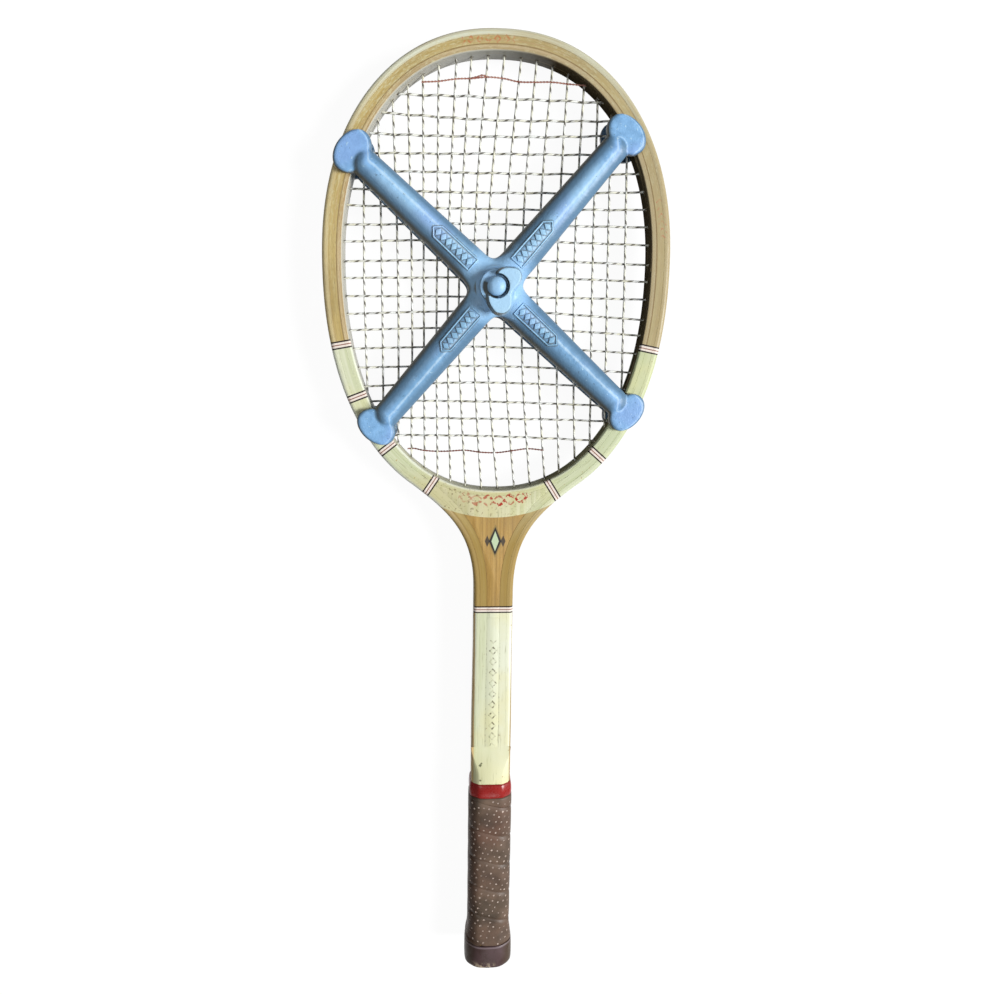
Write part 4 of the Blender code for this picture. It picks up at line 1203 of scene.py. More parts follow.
def waved(run, knots):
    """A run with the heights that the weave gives it, easing from each crossing to the next."""
    knots = sorted(knots)
    places = np.array([p for p, _ in knots])
    heights = np.array([h for _, h in knots])
    steps = np.arange(len(run), dtype=float)
    k = np.clip(np.searchsorted(places, steps, side="right") - 1, 0, len(places) - 2)
    share = (steps - places[k]) / (places[k + 1] - places[k])
    share = share * share * (3 - 2 * share)
    z = MIDDLE_Z + heights[k] + (heights[k + 1] - heights[k]) * share
    return np.column_stack([run, z])


def through_hole(angle, z, loop_depth):
    """The way out through the hoop, to where the string turns into its groove."""
    return [(*oval_inside(angle, depth), z) for depth in np.linspace(HOOP_WIDTH - 0.6, loop_depth + 1.2, 4)]


def loop_round(start, end, z, loop_depth):
    """The loop in the groove from one hole to the next, turned in tightly at both."""
    turn = (end - start + math.pi) % math.tau - math.pi
    chord = np.linalg.norm(oval_inside(start, loop_depth) - oval_inside(end, loop_depth))
    corner = 1.2
    points = []
    for share in np.linspace(0, 1, 17)[1:-1]:
        inset = min(share, 1 - share) * chord
        rise = corner - math.sqrt(max(0.0, corner ** 2 - (corner - min(inset, corner)) ** 2))
        points.append((*oval_inside(start + turn * share, loop_depth + rise), z))
    return points


def string_route(runs, kind, ends, loop_depths):
    """The whole string: in through a hole, across, out through another and round a loop to the next."""
    z = hole_height(kind)
    route = []
    for k, run in enumerate(runs):
        first, last = (HOLES[kind, k, end] for end in ends)
        if k % 2:
            first, last, run = last, first, run[::-1]
        depth_in = loop_depths[k - 1] if k else LOOP_DEPTH
        depth_out = loop_depths[k] if k < len(loop_depths) else LOOP_DEPTH
        route += through_hole(first, z, depth_in)[::-1]
        route += [tuple(p) for p in run[1:-1]]
        route += through_hole(last, z, depth_out)
        if k < len(loop_depths):
            following = HOLES[kind, k + 1, ends[0] if (k + 1) % 2 == 0 else ends[1]]
            route += loop_round(last, following, z, depth_out)
    return np.array(route)


def tube_skin(path, radius, sides):
    """A round tube along a path, with its map of lengths along and places round it."""
    path = np.asarray(path, float)
    keep = np.concatenate([[True], np.linalg.norm(np.diff(path, axis=0), axis=1) > 0.05])
    path = path[keep]
    ahead = np.gradient(path, axis=0)
    ahead /= np.linalg.norm(ahead, axis=1, keepdims=True)
    across = np.cross(ahead[0], (0.1, 0.2, 1.0))
    frames = []
    for way in ahead:
        across = across - way * (across @ way)
        across = across / np.linalg.norm(across)
        frames.append((across, np.cross(way, across)))
    turn = np.linspace(0, math.tau, sides, endpoint=False)
    rings = [p + radius * (np.outer(np.cos(turn), a) + np.outer(np.sin(turn), b))
             for p, (a, b) in zip(path, frames)]
    around = np.linspace(0, math.tau * radius, sides + 1)
    return skin(rings, {"surface": places_on(travelled_along(path), around)})


def make_strings():
    """Both lengths of gut. Gives back the mains' runs, for the threads that cross them."""
    gut = twisted_gut()
    mains, crosses = woven_runs()
    depths = [FOOT_LOOP_DEPTH if k % 2 == 0 and FOOT_LOOPS[0] <= k <= FOOT_LOOPS[1] else LOOP_DEPTH
              for k in range(len(mains) - 1)]
    route = string_route(mains, "main", ("tip", "foot"), depths)
    dress("main_gut", tube_skin(route, STRING / 2, 10), gut, "racket", "main_string", 60)
    route = string_route(crosses, "cross", ("left", "right"), [LOOP_DEPTH] * (len(crosses) - 1))
    dress("cross_gut", tube_skin(route, STRING / 2, 10), gut, "racket", "cross_string", 60)
    return mains


def make_threads(mains):
    """The red-brown threads, each two strands twisted together, passing over and under the mains."""
    cotton = binding_cotton()
    for name, node, places, over_first in (("tip_thread", "tip_binding_thread", TIP_THREAD, 1),
                                           ("foot_thread", "foot_binding_thread", FOOT_THREAD, -1)):
        knots = []
        for x, distance in places:
            nearest = min(mains, key=lambda run: abs(np.interp(-down(distance), -run[:, 1], run[:, 0]) - x))
            main_z = float(np.interp(-down(distance), -nearest[:, 1], nearest[:, 2]))
            knots.append((x, down(distance), main_z))
        x = np.linspace(knots[0][0], knots[-1][0], 260)
        xs = [k[0] for k in knots]
        y = smooth_through(xs, [k[1] for k in knots], x)
        lift = STRING / 2 + THREAD / 2 + 0.05
        heights = [k[2] + lift * (over_first if i % 2 else 1) for i, k in enumerate(knots)]
        z = smooth_through(xs, heights, x)
        mesh = two_strands(np.column_stack([x, y, z]))
        if name == "tip_thread":
            loop_x = np.linspace(TIP_LOOP[0][0], TIP_LOOP[-1][0], 40)
            loop_y = smooth_through([p[0] for p in TIP_LOOP], [down(p[1]) for p in TIP_LOOP], loop_x)
            loop_z = np.interp(loop_x, x, z) + 0.3
            mesh = joined(mesh, two_strands(np.column_stack([loop_x, loop_y, loop_z])))
        dress(name, mesh, cotton, "racket", node, 60)


def two_strands(line):
    """Two thin strands twisted round each other along a line."""
    strands = []
    for start in (0, math.pi):
        phase = math.tau * travelled_along(line) / THREAD_LAY + start
        aside = np.column_stack([np.zeros_like(phase), np.cos(phase), np.sin(phase)]) * THREAD_PLY / 2
        strands.append(tube_skin(line + aside, THREAD_PLY / 2, 7))
    return joined(*strands)


def smooth_through(xs, values, x):
    """A smooth line through values at xs, read at x."""
    xs, values = np.asarray(xs, float), np.asarray(values, float)
    slopes = np.gradient(values, xs)
    k = np.clip(np.searchsorted(xs, x, side="right") - 1, 0, len(xs) - 2)
    width = xs[k + 1] - xs[k]
    t = (x - xs[k]) / width
    return ((2 * t ** 3 - 3 * t ** 2 + 1) * values[k] + (t ** 3 - 2 * t ** 2 + t) * width * slopes[k]
            + (3 * t ** 2 - 2 * t ** 3) * values[k + 1] + (t ** 3 - t ** 2) * width * slopes[k + 1])


# The press

def cross_tree(material):
    """One cast cross as a density field: two half-round bars, a hub and four pads, melted together."""
    tree, sizes = start_growth("cast cross", {"Base": 0, "Side": 0, "Hub height": 0, "Pocket": 0, "Voxel": 0})
    spot = Wire(add(tree, POSITION))
    x, y, z = spot.parts()
    rise = (z - sizes["Base"]) * sizes["Side"]
    crown = higher(rise - ARM_SIDE * MM, 0.0)
    across_half, outwards, inwards = (half * MM for half in PAD_HALF)
    bars, pads = [], []
    for angle, far, near in BARS:
        c, s = math.cos(math.radians(angle)), math.sin(math.radians(angle))
        reach, shift = (far + near) / 2 * MM, (far - near) / 2 * MM
        out, across = abs(dot(spot, (c, s, 0)) - shift), dot(spot, (-s, c, 0))
        half, tall = (fading(out, 0.9 * reach, 0.2 * reach, (end - cut) * MM, (start - cut) * MM)
                      for (start, end), cut in ((ARM_HALF, 0), (ARM_HEIGHT, ARM_SIDE)))
        nose = higher(out - (reach - NOSE * MM), 0.0) * (1 / (NOSE * MM))
        bars.append((length_of(across / half, crown / tall, nose) - 1.0) * half)
        beyond = out - (reach + PAD_BEYOND * MM)
        oval = length_of(higher(beyond / outwards, beyond / -inwards), across / across_half, 0.0)
        pads.append(calc("SMOOTH_MAX", (oval - 1.0) * (11.0 * MM), rise - PAD_THICKNESS * MM, 3.6 * MM))
    middle = length_of(x, y, 0.0)
    body = calc("SMOOTH_MIN", *bars, 12.0 * MM)
    body = calc("SMOOTH_MIN", body, middle - HUB_RADIUS * MM, 4.0 * MM)
    body = calc("SMOOTH_MAX", body, rise - sizes["Hub height"], 1.5 * MM)
    for pad in pads:
        body = calc("SMOOTH_MIN", body, pad, 1.8 * MM)

    # The rear hub's six-sided pocket holds the bush, and opens on the floor side
    flats = [abs(dot(spot, (math.cos(turn), math.sin(turn), 0))) for turn in np.radians((30, 90, 150))]
    pocket = calc("MINIMUM", sizes["Pocket"] - higher(*flats), 0.4 * MM - rise)
    body = higher(body, BORE * MM - middle, rise * -1.0, pocket)

    span, tall = 104.0 * MM, 7.2 * MM
    middle_z = sizes["Side"] * (6.0 * MM) + sizes["Base"]
    flat_count = 2 * span / sizes["Voxel"]
    block = add(tree, "GeometryNodeVolumeCube",
                {"Density": body * -1000.0, "Background": -1.0, "Resolution X": flat_count,
                 "Resolution Y": flat_count, "Resolution Z": 2 * tall / sizes["Voxel"],
                 "Min": vector_of(-span, -span, middle_z - tall),
                 "Max": vector_of(span, span, middle_z + tall)})
    surface = add(tree, "GeometryNodeVolumeToMesh", {"Volume": block, "Threshold": 0.0, "Adaptivity": 0.0},
                  resolution_mode="GRID")
    moved = add(tree, "GeometryNodeTransform",
                {"Geometry": surface, "Translation": PRESS_AT, "Rotation": (0, 0, PRESS_TURN)})
    return end_growth(tree, moved, material)


def make_crosses():
    """The front and the rear casting, with their ornaments. Gives back their paint, for the screw."""
    paint = press_enamel("stove enamel on cast iron", "8ABCEA")
    tree = cross_tree(paint)

    def casting(side, hub, pocket, voxel):
        base = MIDDLE_Z + side * (FACE_Z + PRESS_GAP)
        sizes = {"Base": base * MM, "Hub height": hub * MM, "Pocket": pocket * MM, "Voxel": voxel * MM}
        return with_painted_shade(turned_out(grown(tree, {"Side": side, **sizes})))

    front = casting(1.0, HUB_FRONT, NO_POCKET, 0.6)
    rear = casting(-1.0, HUB_REAR, BUSH_RADIUS * math.cos(math.pi / 6), 0.7)
    front = dress("front_casting", front, paint, "front_press", "front_cross", 50)
    # The rear cross gets a darker copy of the enamel: painted shade, for where it lies under the racket
    dark = press_enamel("stove enamel on the rear cross, darkened as painted shade", "4A6C8C")
    dress("rear_casting", rear, dark, "rear_press", "rear_cross", 50)
    make_arm_panels(front, press_enamel("stove enamel on the panels", "A4D4F6"))
    return paint


def ridge_tree(material):
    """A round ridge along the edges of its source mesh."""
    tree, sizes = start_growth("ridge along a path", {"Radius": 0.0})
    line = add(tree, "GeometryNodeMeshToCurve", {"Mesh": sizes["Geometry"]})
    section = add(tree, "GeometryNodeCurvePrimitiveCircle", {"Resolution": 8, "Radius": sizes["Radius"]})
    ridge = add(tree, "GeometryNodeCurveToMesh", {"Curve": line, "Profile Curve": section.outputs["Curve"],
                                                  "Fill Caps": True})
    return end_growth(tree, ridge, material)


def make_arm_panels(front, paint):
    """A raised frame on each arm with a row of small lozenges in it, cast with the cross and painted too."""
    surface = faces_of(front.data)
    ridge = ridge_tree(paint)
    meshes, points, aims, lies = [], [], [], []

    def on_crest(radius, across, way, lift):
        side = np.array([-way[1], way[0]])
        x, y = np.array([PRESS_X, PRESS_Y]) + radius * way + across * side
        hit, normal, _, _ = surface.ray_cast(Vector((x * MM, y * MM, 0.1)), Vector((0, 0, -1)))
        return np.array(hit + normal * lift * MM) / MM, np.array(normal)

    for turn in [math.radians(angle + half) + PRESS_TURN for angle, _, _ in BARS for half in (0, 180)]:
        way = np.array([math.cos(turn), math.sin(turn)])
        loop = [on_crest(r0 + (r1 - r0) * share, a0 + (a1 - a0) * share, way, 0.2)[0]
                for (r0, a0), (r1, a1) in zip(PANEL, PANEL[1:] + PANEL[:1])
                for share in np.arange(0, 1, 0.05)]
        source = bpy.data.meshes.new("panel path")
        source.from_pydata(np.array(loop) * MM, [(k, (k + 1) % len(loop)) for k in range(len(loop))], [])
        meshes.append(grown(ridge, {"Radius": 0.5 * MM}, source))
        for radius in np.arange(PANEL[0][0] + 3.2, PANEL[2][0] + 0.2, 4.4):
            place, normal = on_crest(radius, 0.0, way, -0.25)
            points.append(place)
            aims.append(normal)
            lies.append((*way, 0.0))
    stud = flat_block([(2.0, 0), (0, 2.9), (-2.0, 0), (0, -2.9)], 0.0, 0.95, 0.2)
    mesh = joined(*meshes, studs(stud, points, aims, lies, paint, 0.92, 1.04))

    # Painted shade darkens the casting round the foot of everything raised
    raised = faces_of(mesh)
    painted_shade = values_of(front.data.attributes["painted_shade"].data, "value")
    for k, vertex in enumerate(front.data.vertices):
        _, _, _, way = raised.find_nearest(vertex.co, 1.2 * MM)
        if way is not None:
            painted_shade[k] = max(painted_shade[k], 0.72 - 0.35 * max(0.0, way / MM - 0.4) / 0.8)
    set_attribute(front.data, "painted_shade", painted_shade)
    dress("arm_panels", mesh, paint, "front_press", sharp=50)


def turned_about_screw(places, sides, closed=False):
    """A turned body about the screw's axis from its (radius, z) places."""
    turn = np.linspace(0, math.tau, sides, endpoint=False)
    rings = [np.column_stack([PRESS_X + r * np.cos(turn), PRESS_Y + r * np.sin(turn), np.full(sides, z)])
             for r, z in places]
    return skin(rings, {}, closed)


def thread_tree(material):
    """A threaded shank: each point of a plain one moves in where the turning thread's valley passes it."""
    tree, sizes = start_growth("screw thread", {"Pitch": 0, "Depth": 0, "Start": 0, "End": 0})
    spot = calc("SUBTRACT", Wire(add(tree, POSITION)), PRESS_AT, kind=VECTOR)
    x, y, z = spot.parts()
    turns = z / sizes["Pitch"] - calc("ARCTAN2", y, x) / math.tau
    valley = fading(calc("PINGPONG", turns, 0.5), 0.44, 0.06) * ((z > sizes["Start"]) * (z < sizes["End"]))
    outward = calc("NORMALIZE", vector_of(x, y, 0.0), kind=VECTOR)
    shift = add(tree, VECTOR, {0: outward, "Scale": valley * sizes["Depth"] * -1.0}, operation="SCALE")
    moved = add(tree, "GeometryNodeSetPosition", {"Geometry": sizes["Geometry"], "Offset": shift})
    return end_growth(tree, moved, material)


def make_screw(paint):
    """The screw, its wing and its washer, all under the same blue paint, painted paler on the wing's top as
    painted light.
    """
    washer_z = MIDDLE_Z + FACE_Z + PRESS_GAP + HUB_FRONT + PLAY
    ring_z = washer_z + WASHER + PLAY
    dome_z = ring_z + RING_HEIGHT + PLAY
    section = ((BORE, 0), (WASHER_RADIUS - 0.3, 0), (WASHER_RADIUS, 0.3), (WASHER_RADIUS, WASHER - 0.5),
               (WASHER_RADIUS - 0.5, WASHER), (BORE, WASHER))
    mesh = turned_about_screw([(radius, washer_z + rise) for radius, rise in section], 72, closed=True)
    dress("flat_washer", mesh, paint, "front_press", "screw_washer")

    shank = [(0.2, 1.0), (SCREW_RADIUS - 0.9, 1.0), (SCREW_RADIUS, 1.9)]
    shank += [(SCREW_RADIUS, z) for z in (*np.arange(2.0, 30.0, THREAD_PITCH / 6), 32.0, 38.0, dome_z)]
    head = [(DOME_RADIUS - 0.3, dome_z), (DOME_RADIUS, dome_z + 0.3)]
    for turn in np.radians(np.linspace(0, 88, 14)):
        head.append((DOME_RADIUS * math.cos(turn), dome_z + 2.4 + (DOME_HEIGHT - 2.4) * math.sin(turn)))
    mesh = turned_about_screw(shank + head, 48)
    mesh = grown(thread_tree(paint), {"Pitch": THREAD_PITCH * MM, "Depth": 0.55 * MM, "Start": 2.2 * MM,
                                      "End": 29.0 * MM}, mesh)
    dress("domed_screw", mesh, paint, "wing_screw", "press_screw")

    # Painted light: the wing's enamel turns paler on its top, where its flat face catches the lamp
    pale = press_enamel("stove enamel on the wing", "8ABCEA", "BFE4F6")
    mesh = with_painted_shade(wing_mesh(ring_z))
    x, y, z = (values_of(mesh.vertices, "co", 3) / MM - (PRESS_X, PRESS_Y, ring_z + RING_HEIGHT)).T
    radius = np.hypot(x, y)
    # Painted shadow in the corner between the ring and the dome at its lower left, where the dome and the
    # wing cast it, and more painted shade on the wing's flanks
    corner = (z < 0.6) * eased(radius, 10.2, 8.2) * eased(-(0.8 * x + 0.6 * y) / radius, 0.1, 0.7)
    painted_shade = values_of(mesh.attributes["painted_shade"].data, "value")
    set_attribute(mesh, "painted_shade", np.maximum(painted_shade + 0.3, 1.4 * corner))
    dress("wing_piece", mesh, pale, "wing_screw", "wing_handle", 60)


def wing_mesh(ring_z):
    """A cast plate with drafted sides and a notch for the dome, melted onto the ring below it."""
    steps = np.arange(len(WING_OUTLINE), dtype=float)
    fine = np.linspace(0, steps[-1], (len(WING_OUTLINE) - 1) * 6 + 1)
    angles, reaches = (smooth_through(steps, values, fine) for values in zip(*WING_OUTLINE))
    angles = np.radians(angles)
    notch = np.radians(np.linspace(WING_OUTLINE[-1][0], WING_OUTLINE[0][0], 40)[1:-1])
    reaches, angles = np.append(reaches, np.full(len(notch), WING_NOTCH)), np.append(angles, notch)
    ears = np.column_stack([reaches * np.cos(angles), reaches * np.sin(angles)]) + (PRESS_X, PRESS_Y)
    ahead = np.roll(ears, -1, axis=0) - np.roll(ears, 1, axis=0)
    out = np.column_stack([ahead[:, 1], -ahead[:, 0]]) / np.linalg.norm(ahead, axis=1, keepdims=True)
    out *= -1 if np.mean(np.sum(out * (ears - ears.mean(axis=0)), axis=1)) < 0 else 1
    out[len(fine):] = 0
    low = ring_z + RING_HEIGHT - 1.0
    plate = skin([np.column_stack([ears + out * draft, np.full(len(ears), low + rise)]) for rise, draft in
                  ((0.0, WING_DRAFT), (WING_HEIGHT - 1.4, 0.35), (WING_HEIGHT + 1.0, 0.0))], {})
    ring = turned_about_screw(((BORE, ring_z), (RING_RADIUS, ring_z), (RING_RADIUS, ring_z + RING_HEIGHT),
                               (BORE, ring_z + RING_HEIGHT)), 72, closed=True)
    bore = turned_about_screw(((BORE, ring_z - 2), (BORE, ring_z + 20)), 72)
    mesh = shaped(carved(carved(plate, ring, "UNION"), bore), "REMESH", mode="VOXEL", voxel_size=0.32 * MM)
    return turned_out(shaped(mesh, "SMOOTH", factor=0.5, iterations=9))


# Other finishes

def press_enamel(name, tone, rubbed=None):
    """Stoved enamel on rough cast iron: half glossy, with pits and small chips.

    Its colour holds painted light and shade. It is painted lighter on the upper arms, and round the hub
    against the wing's shadow, and darker on the lower arms. Painted shade darkens the flanks, most the left
    ones away from the lamp, and a painted highlight runs pale along the crests. It is violet in patches. A
    paler tone, painted light, takes over on the wing's top, where its flat face catches the lamp.
    """
    made, spot = start_material(name)
    clouds = noise(spot, 210.0, 4.0, Roughness=0.6)
    chips = noise(spot, 380.0, 3.0, Roughness=0.6)
    slow = noise(spot, 36.0, 2.0)
    hub = calc("SUBTRACT", spot, (*PRESS_AT[:2], PAINTED_LIGHT_MIDDLE_Z * MM), kind=VECTOR)
    reach = calc("LENGTH", hub, kind=VECTOR)
    arms = fading(reach, 0.022, 0.014) * fading(reach, 0.096, 0.106)
    up = hub.parts()[1]
    shade_and_highlight, painted_shade = (Wire(add(made.node_tree, "ShaderNodeAttribute", attribute_name=each).outputs["Fac"])
                  for each in ("shade_and_highlight", "painted_shade"))
    # Painted shade on the flanks and a painted highlight along the crests, both kept off the hub, whose
    # painted shade is lessened too
    shade_and_highlight = shade_and_highlight * fading(reach, 0.032, 0.015)
    crest_highlight = fading(clouds * 1.2 + shade_and_highlight, -0.4, 0.5, 0.55) * fading(shade_and_highlight, -0.25, 0.0)
    painted_shade = clouds * 0.2 + (painted_shade - fading(reach, 0.016, 0.024, 0.4))
    fleck = fading(chips, 0.69, 0.64, 0.6)

    red, green, blue, _ = linear(tone)
    colour = layered(tone, ((red * 0.66, green * 0.72, blue * 0.76, 1.0), fading(clouds, 0.68, 0.38)))
    # Painted light: a paler tone on the wing's top, where its flat face catches the lamp
    if rubbed:
        colour = layered(colour, (rubbed, fading(spot.parts()[2], 49.5 * MM, 46.5 * MM)))
    # Painted light and shade: lighter upper arms and hub, darker lower arms, shade on the flanks and a
    # highlight along the crests
    colour = layered(colour, ("B2DDFA", arms * fading(up, 0.03, 0.0, 0.45)),
                     ("5F8DAE", arms * fading(up, -0.04, 0.0, 0.4)),
                     ((red * 1.02, green * 0.84, blue, 1.0), fading(slow, 0.66, 0.52, 0.5)),
                     ("BCE0F0", fleck), ("4A6072", fading(chips, 0.29, 0.35, 0.6)),
                     ("587B98", fading(shade_and_highlight, 1.0, 0.0, 0.9)),
                     ("A4D0F4", fading(reach, 0.018, 0.026, 0.7)), ("CFEAFA", crest_highlight),
                     ("56574D", fading(painted_shade, 0.95, 0.55, 0.93)))
    relief = clouds * 2.5 + (noise(spot, 900.0, 2.0) + fleck)
    return finished(made, colour, fading(clouds, 0.7, 0.3, 0.54, 0.4), (0.4, 0.0004, relief),
                    Coat_Weight=0.06, Coat_Roughness=0.2)


def with_painted_shade(mesh):
    """Marks a casting's painted shade, most on steep left flanks, and a flank shade that turns to crest
    highlight below 0.
    """
    x, y, z = values_of(mesh.vertices, "normal", 3).T
    # Painted shade: steep flanks darker, the left ones most, as they face away from the lamp
    set_attribute(mesh, "painted_shade", np.maximum(0, -x - 0.1 * y) + 0.7 * (1 - np.abs(z)))
    # Painted shade on both flanks that goes below 0, to a painted highlight, along the crests
    flank, crest = (np.abs(x - 0.07) - 0.06) / 0.28, 1 - np.abs(x - 0.13) / 0.08
    set_attribute(mesh, "shade_and_highlight", np.clip(flank, 0, 1) - np.clip(crest, 0, 1))
    return mesh


def red_plastic():
    """Cellulose plastic shrunk on wet: deep red, glassy, faintly uneven."""
    made, spot = start_material("cellulose collar, shrunk on")
    clouds, scuffs = noise(spot, 90.0, 3.0), noise(spot, 600.0, 2.0)
    return finished(made, layered("8E1E1B", ("A02724", fading(clouds, 0.7, 0.35))),
                    fading(scuffs, 0.75, 0.4, 0.4, 0.26), (0.15, 0.0004, clouds), IOR=1.5)


def grip_leather():
    """Perforated calf, dark with hand grease: fine pebbled grain, each turn's edge paler from wear and a
    painted highlight.
    """
    made, spot = start_material("perforated calf leather")
    x = spot.parts()[0]
    across = own_map(made, "surface")[1]
    clouds, slow = noise(spot, 60.0, 4.0), noise(spot, 30.0, 3.0)
    colour = layered("524034", ("75604F", fading(clouds, 0.68, 0.35)),
                     ("6A4536", fading(slow, 0.62, 0.5, 0.45)), ("3F3A2C", fading(slow, 0.36, 0.46, 0.4)),
                     # Painted shade: darker on the left bevel, away from the lamp, and on the right side
                     ("3A2008", fading(x, -0.0135, -0.0085, 0.8)),
                     ("54402F", fading(x, 0.015, 0.004, 0.5)),
                     # Each turn's one edge is paler, partly worn and partly a painted highlight
                     ("8A7266", fading(across, (LEATHER_WIDTH - 0.1) * MM, (LEATHER_WIDTH - 0.7) * MM, 0.55)))
    return finished(made, colour, fading(clouds, 0.7, 0.3, 0.6, 0.42), (0.3, 0.0002, pebbles(spot)))


def hole_dust():
    """Pale hand dust and chalk packed in the punched holes."""
    made, spot = start_material("dust in punched holes")
    clouds = noise(spot, 200.0, 2.0)
    colour = layered("9C8A80", ("CBBBB0", fading(clouds, 0.65, 0.35)))
    return finished(made, colour, 0.9, (0.4, 0.0002, clouds))


def butt_leather():
    """Dark leather, brown down its front, with a pale upper rim that is a painted highlight, and torn scuffs
    round its lower edge.
    """
    made, spot = start_material("calf leather band")
    x, y, _ = spot.parts()
    clouds = noise(spot, 80.0, 4.0)
    torn = fading(noise(spot, 300.0, 3.0), 0.56, 0.44, 0.9)
    torn = torn * (fading(y, level(673.5), level(669.5)) * fading(abs(x + 3.5 * MM), 0.006, 0.010))
    # Painted highlight: a pale line along the band's top edge
    rim = fading(abs(y - level(657.0)), 0.0002, 0.0009, 0.45)
    colour = layered("43302E", ("584446", fading(clouds, 0.68, 0.35)),
                     ("3E2A12", fading(abs(x), 0.0155, 0.0095, 0.9)), ("B9A890", torn), ("9A8A90", rim))
    return finished(made, colour, fading(clouds, 0.7, 0.3, 0.55, 0.34), (0.25, 0.0002, pebbles(spot)))


def twisted_gut():
    """Natural gut with a dark marker strand twisted in: pale and waxy, with a fleck every 7 mm."""
    made, spot = start_material("twisted gut")
    along, around = own_map(made, "surface")
    wobble = noise(spot, 160.0, 2.0)
    phase = along * (1 / (7.0 * MM)) + around * (1 / (math.pi * STRING * MM))
    phase = calc("PINGPONG", wobble * 0.35 + phase, 0.5)
    colour = layered("E8EAE6", ("DCDAC4", fading(wobble, 0.65, 0.35)),
                     ("463E30", fading(phase, 0.36, 0.29, 0.86)))
    return finished(made, colour, 0.38, (0.3, 0.0001, calc("PINGPONG", phase * 5.0, 0.5)))


def binding_cotton():
    """Waxed cotton, red once and now brown: matt, hairy and unevenly faded, and darker at the foot."""
    made, spot = start_material("waxed cotton thread")
    colour = layered("9A5E50", ("C49484", fading(noise(spot, 120.0, 3.0), 0.65, 0.35)),
                     ("763E32", fading(spot.parts()[1], 0.1, 0.2, 0.8)))
    return finished(made, colour, 0.75, (0.4, 0.0001, noise(spot, 5000.0, 1.0)))


def bare_steel():
    """Turned mild steel with a dull grey skin of age and small spots of rust."""
    made, spot = start_material("turned mild steel")
    rust = noise(spot, 500.0, 4.0)
    colour = layered("A6A39B", ("7A5A41", fading(rust, 0.7, 0.55)))
    return finished(made, colour, fading(rust, 0.7, 0.4, 0.7, 0.32), (0.3, 0.0001, rust),
                    Metallic=fading(rust, 0.7, 0.55, 0.1, 1.0))


def end_grain():
    """Bare beech blocks at the butt: sawn ends, brown with age."""
    made, spot = start_material("sawn beech")
    fibre = noise(spot, (900, 30, 900), 3.0)
    colour = layered("8C6A3C", ("B5935A", fading(fibre, 0.68, 0.35)))
    return finished(made, colour, 0.65, (0.3, 0.0002, fibre))


def finish_frame_nodes():
    """The frame's own small parts keep their shapes and get real finishes."""
    for node, material in (("butt_left_flare", end_grain()), ("butt_right_flare", end_grain()),
                           ("butt_tack", bare_steel()), ("rear_thread_bush", bare_steel())):
        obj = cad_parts[node]
        obj.data.materials.clear()
        obj.data.materials.append(material)


# Camera, light and floor

FOCAL_PIXELS = 759.0
PICTURE = (994, 995)
NADIR = (448.02, 335.62)
ROLL = -0.0024
CAMERA_AT = (-32.89, 151.56, 544.5)


def place_camera():
    """The photograph's viewpoint, from the picture's point that lies straight below the camera."""
    data = bpy.data.cameras.new("camera")
    data.sensor_width = 36.0
    data.lens = data.sensor_width * FOCAL_PIXELS / max(PICTURE)
    camera = placed("camera", data)
    up = -Vector((NADIR[0] - PICTURE[0] / 2, NADIR[1] - PICTURE[1] / 2, FOCAL_PIXELS)).normalized()
    north = (Vector((0, -1, 0)) - up * Vector((0, -1, 0)).dot(up)).normalized()
    east = north.cross(up)
    x = east * math.cos(ROLL) + north * math.sin(ROLL)
    y = north * math.cos(ROLL) - east * math.sin(ROLL)
    right, below, ahead = (Vector(way) for way in zip(x, y, up))
    turn = Matrix((right, -below, -ahead)).transposed().to_4x4()
    camera.matrix_world = Matrix.Translation(Vector(CAMERA_AT) * MM) @ turn
    bpy.context.scene.camera = camera


def area_light(name, place, size, power):
    """A round lamp that is aimed at the middle of the racket."""
    data = bpy.data.lights.new(name, "AREA")
    data.shape = "DISK"
    data.size = size
    data.energy = power
    light = placed(name, data)
    light.location = place
    light.rotation_euler = (-Vector(place)).to_track_quat("-Z", "Y").to_euler()


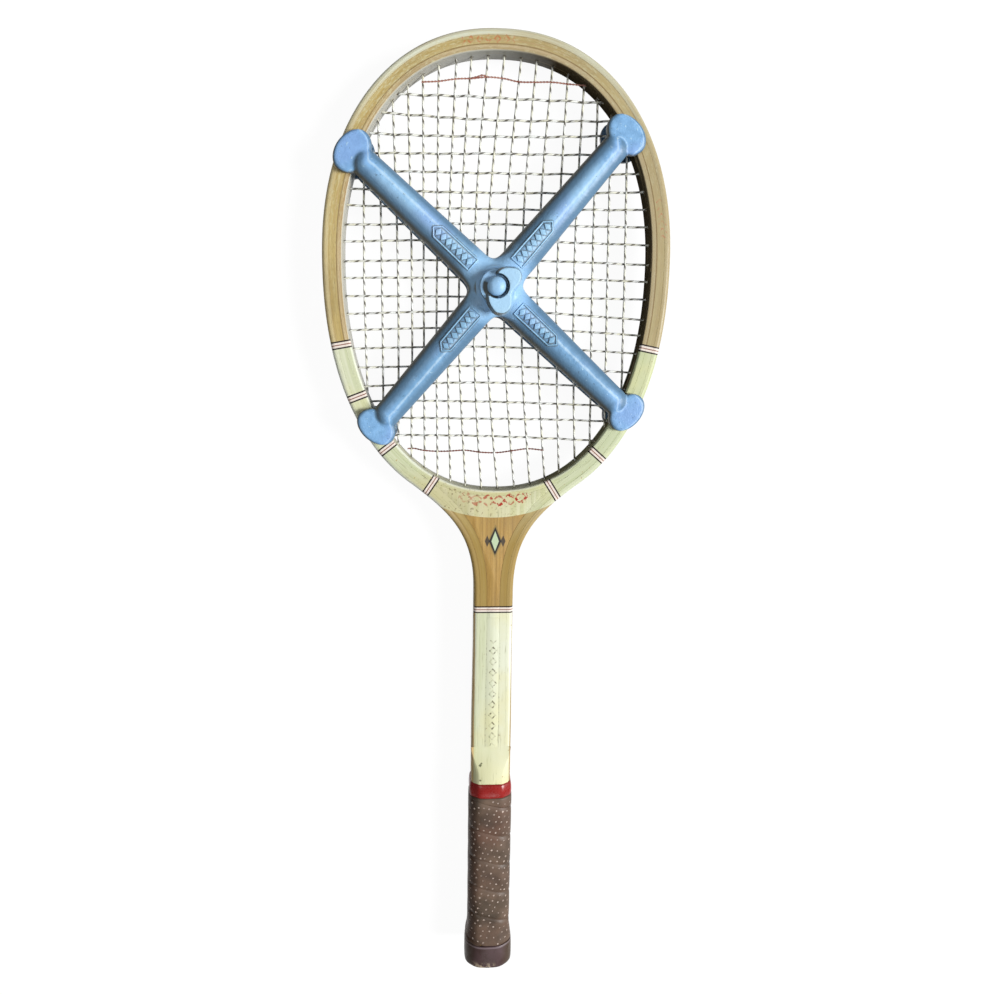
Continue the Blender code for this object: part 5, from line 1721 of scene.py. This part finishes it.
def make_floor():
    """A plain white floor that keeps the object's shadow. To the light's other bounces it is a dark grey."""
    size, level_z = 2.5, -0.1 * MM
    mesh = bpy.data.meshes.new("floor")
    corners = [(x * size, y * size, level_z) for x, y in ((-1, -1), (1, -1), (1, 1), (-1, 1))]
    mesh.from_pydata(corners, [], [(0, 1, 2, 3)])
    made, spot = start_material("white paper floor")
    tree = made.node_tree
    tree.nodes.remove(tree.nodes["Principled BSDF"])
    rays = add(tree, "ShaderNodeLightPath").outputs
    seen = higher(*(Wire(rays[kind]) for kind in ("Is Camera Ray", "Is Glossy Ray", "Is Transmission Ray")))
    tone = fading(noise(spot, 300.0, 2.0), 1.0, 0.0, 0.11, 0.09)
    lit = add(tree, "ShaderNodeBsdfDiffuse", {"Color": tone})
    glow = add(tree, "ShaderNodeEmission", {"Color": (1, 1, 1, 1), "Strength": 0.94})
    grey = add(tree, "ShaderNodeBsdfDiffuse", {"Color": (0.06, 0.055, 0.05, 1)})
    shadowed = add(tree, "ShaderNodeAddShader", {0: lit, 1: glow})
    both = add(tree, "ShaderNodeMixShader", {0: seen, 1: grey, 2: shadowed})
    fed(tree.nodes["Material Output"], {"Surface": both})
    mesh.materials.append(made)
    placed("floor", mesh)


def make_world():
    """White to the camera, and a low even light to everything else."""
    world = bpy.data.worlds.new("studio")
    bpy.context.scene.world = world
    world.use_nodes = True
    tree = world.node_tree
    seen = Wire(add(tree, "ShaderNodeLightPath").outputs["Is Camera Ray"])
    fed(tree.nodes["Background"], {"Strength": fading(seen, 1.0, 0.0, 1.0, 0.11), "Color": (1, 1, 1, 1)})


def make_stage():
    place_camera()
    make_floor()
    make_world()
    area_light("key", (5.3, -0.2, 4.6), 3.0, 605)
    area_light("fill", (-1.2, 0.3, 2.9), 1.6, 15)
    area_light("low lamp", (0.5, -4.4, 4.6), 0.7, 20)
    bpy.context.scene.view_settings.view_transform = "Standard"


make_hoop()
make_throat()
make_cheeks()
make_collar()
make_grip()
make_butt_band()
make_threads(make_strings())
make_screw(make_crosses())
finish_frame_nodes()
make_stage()
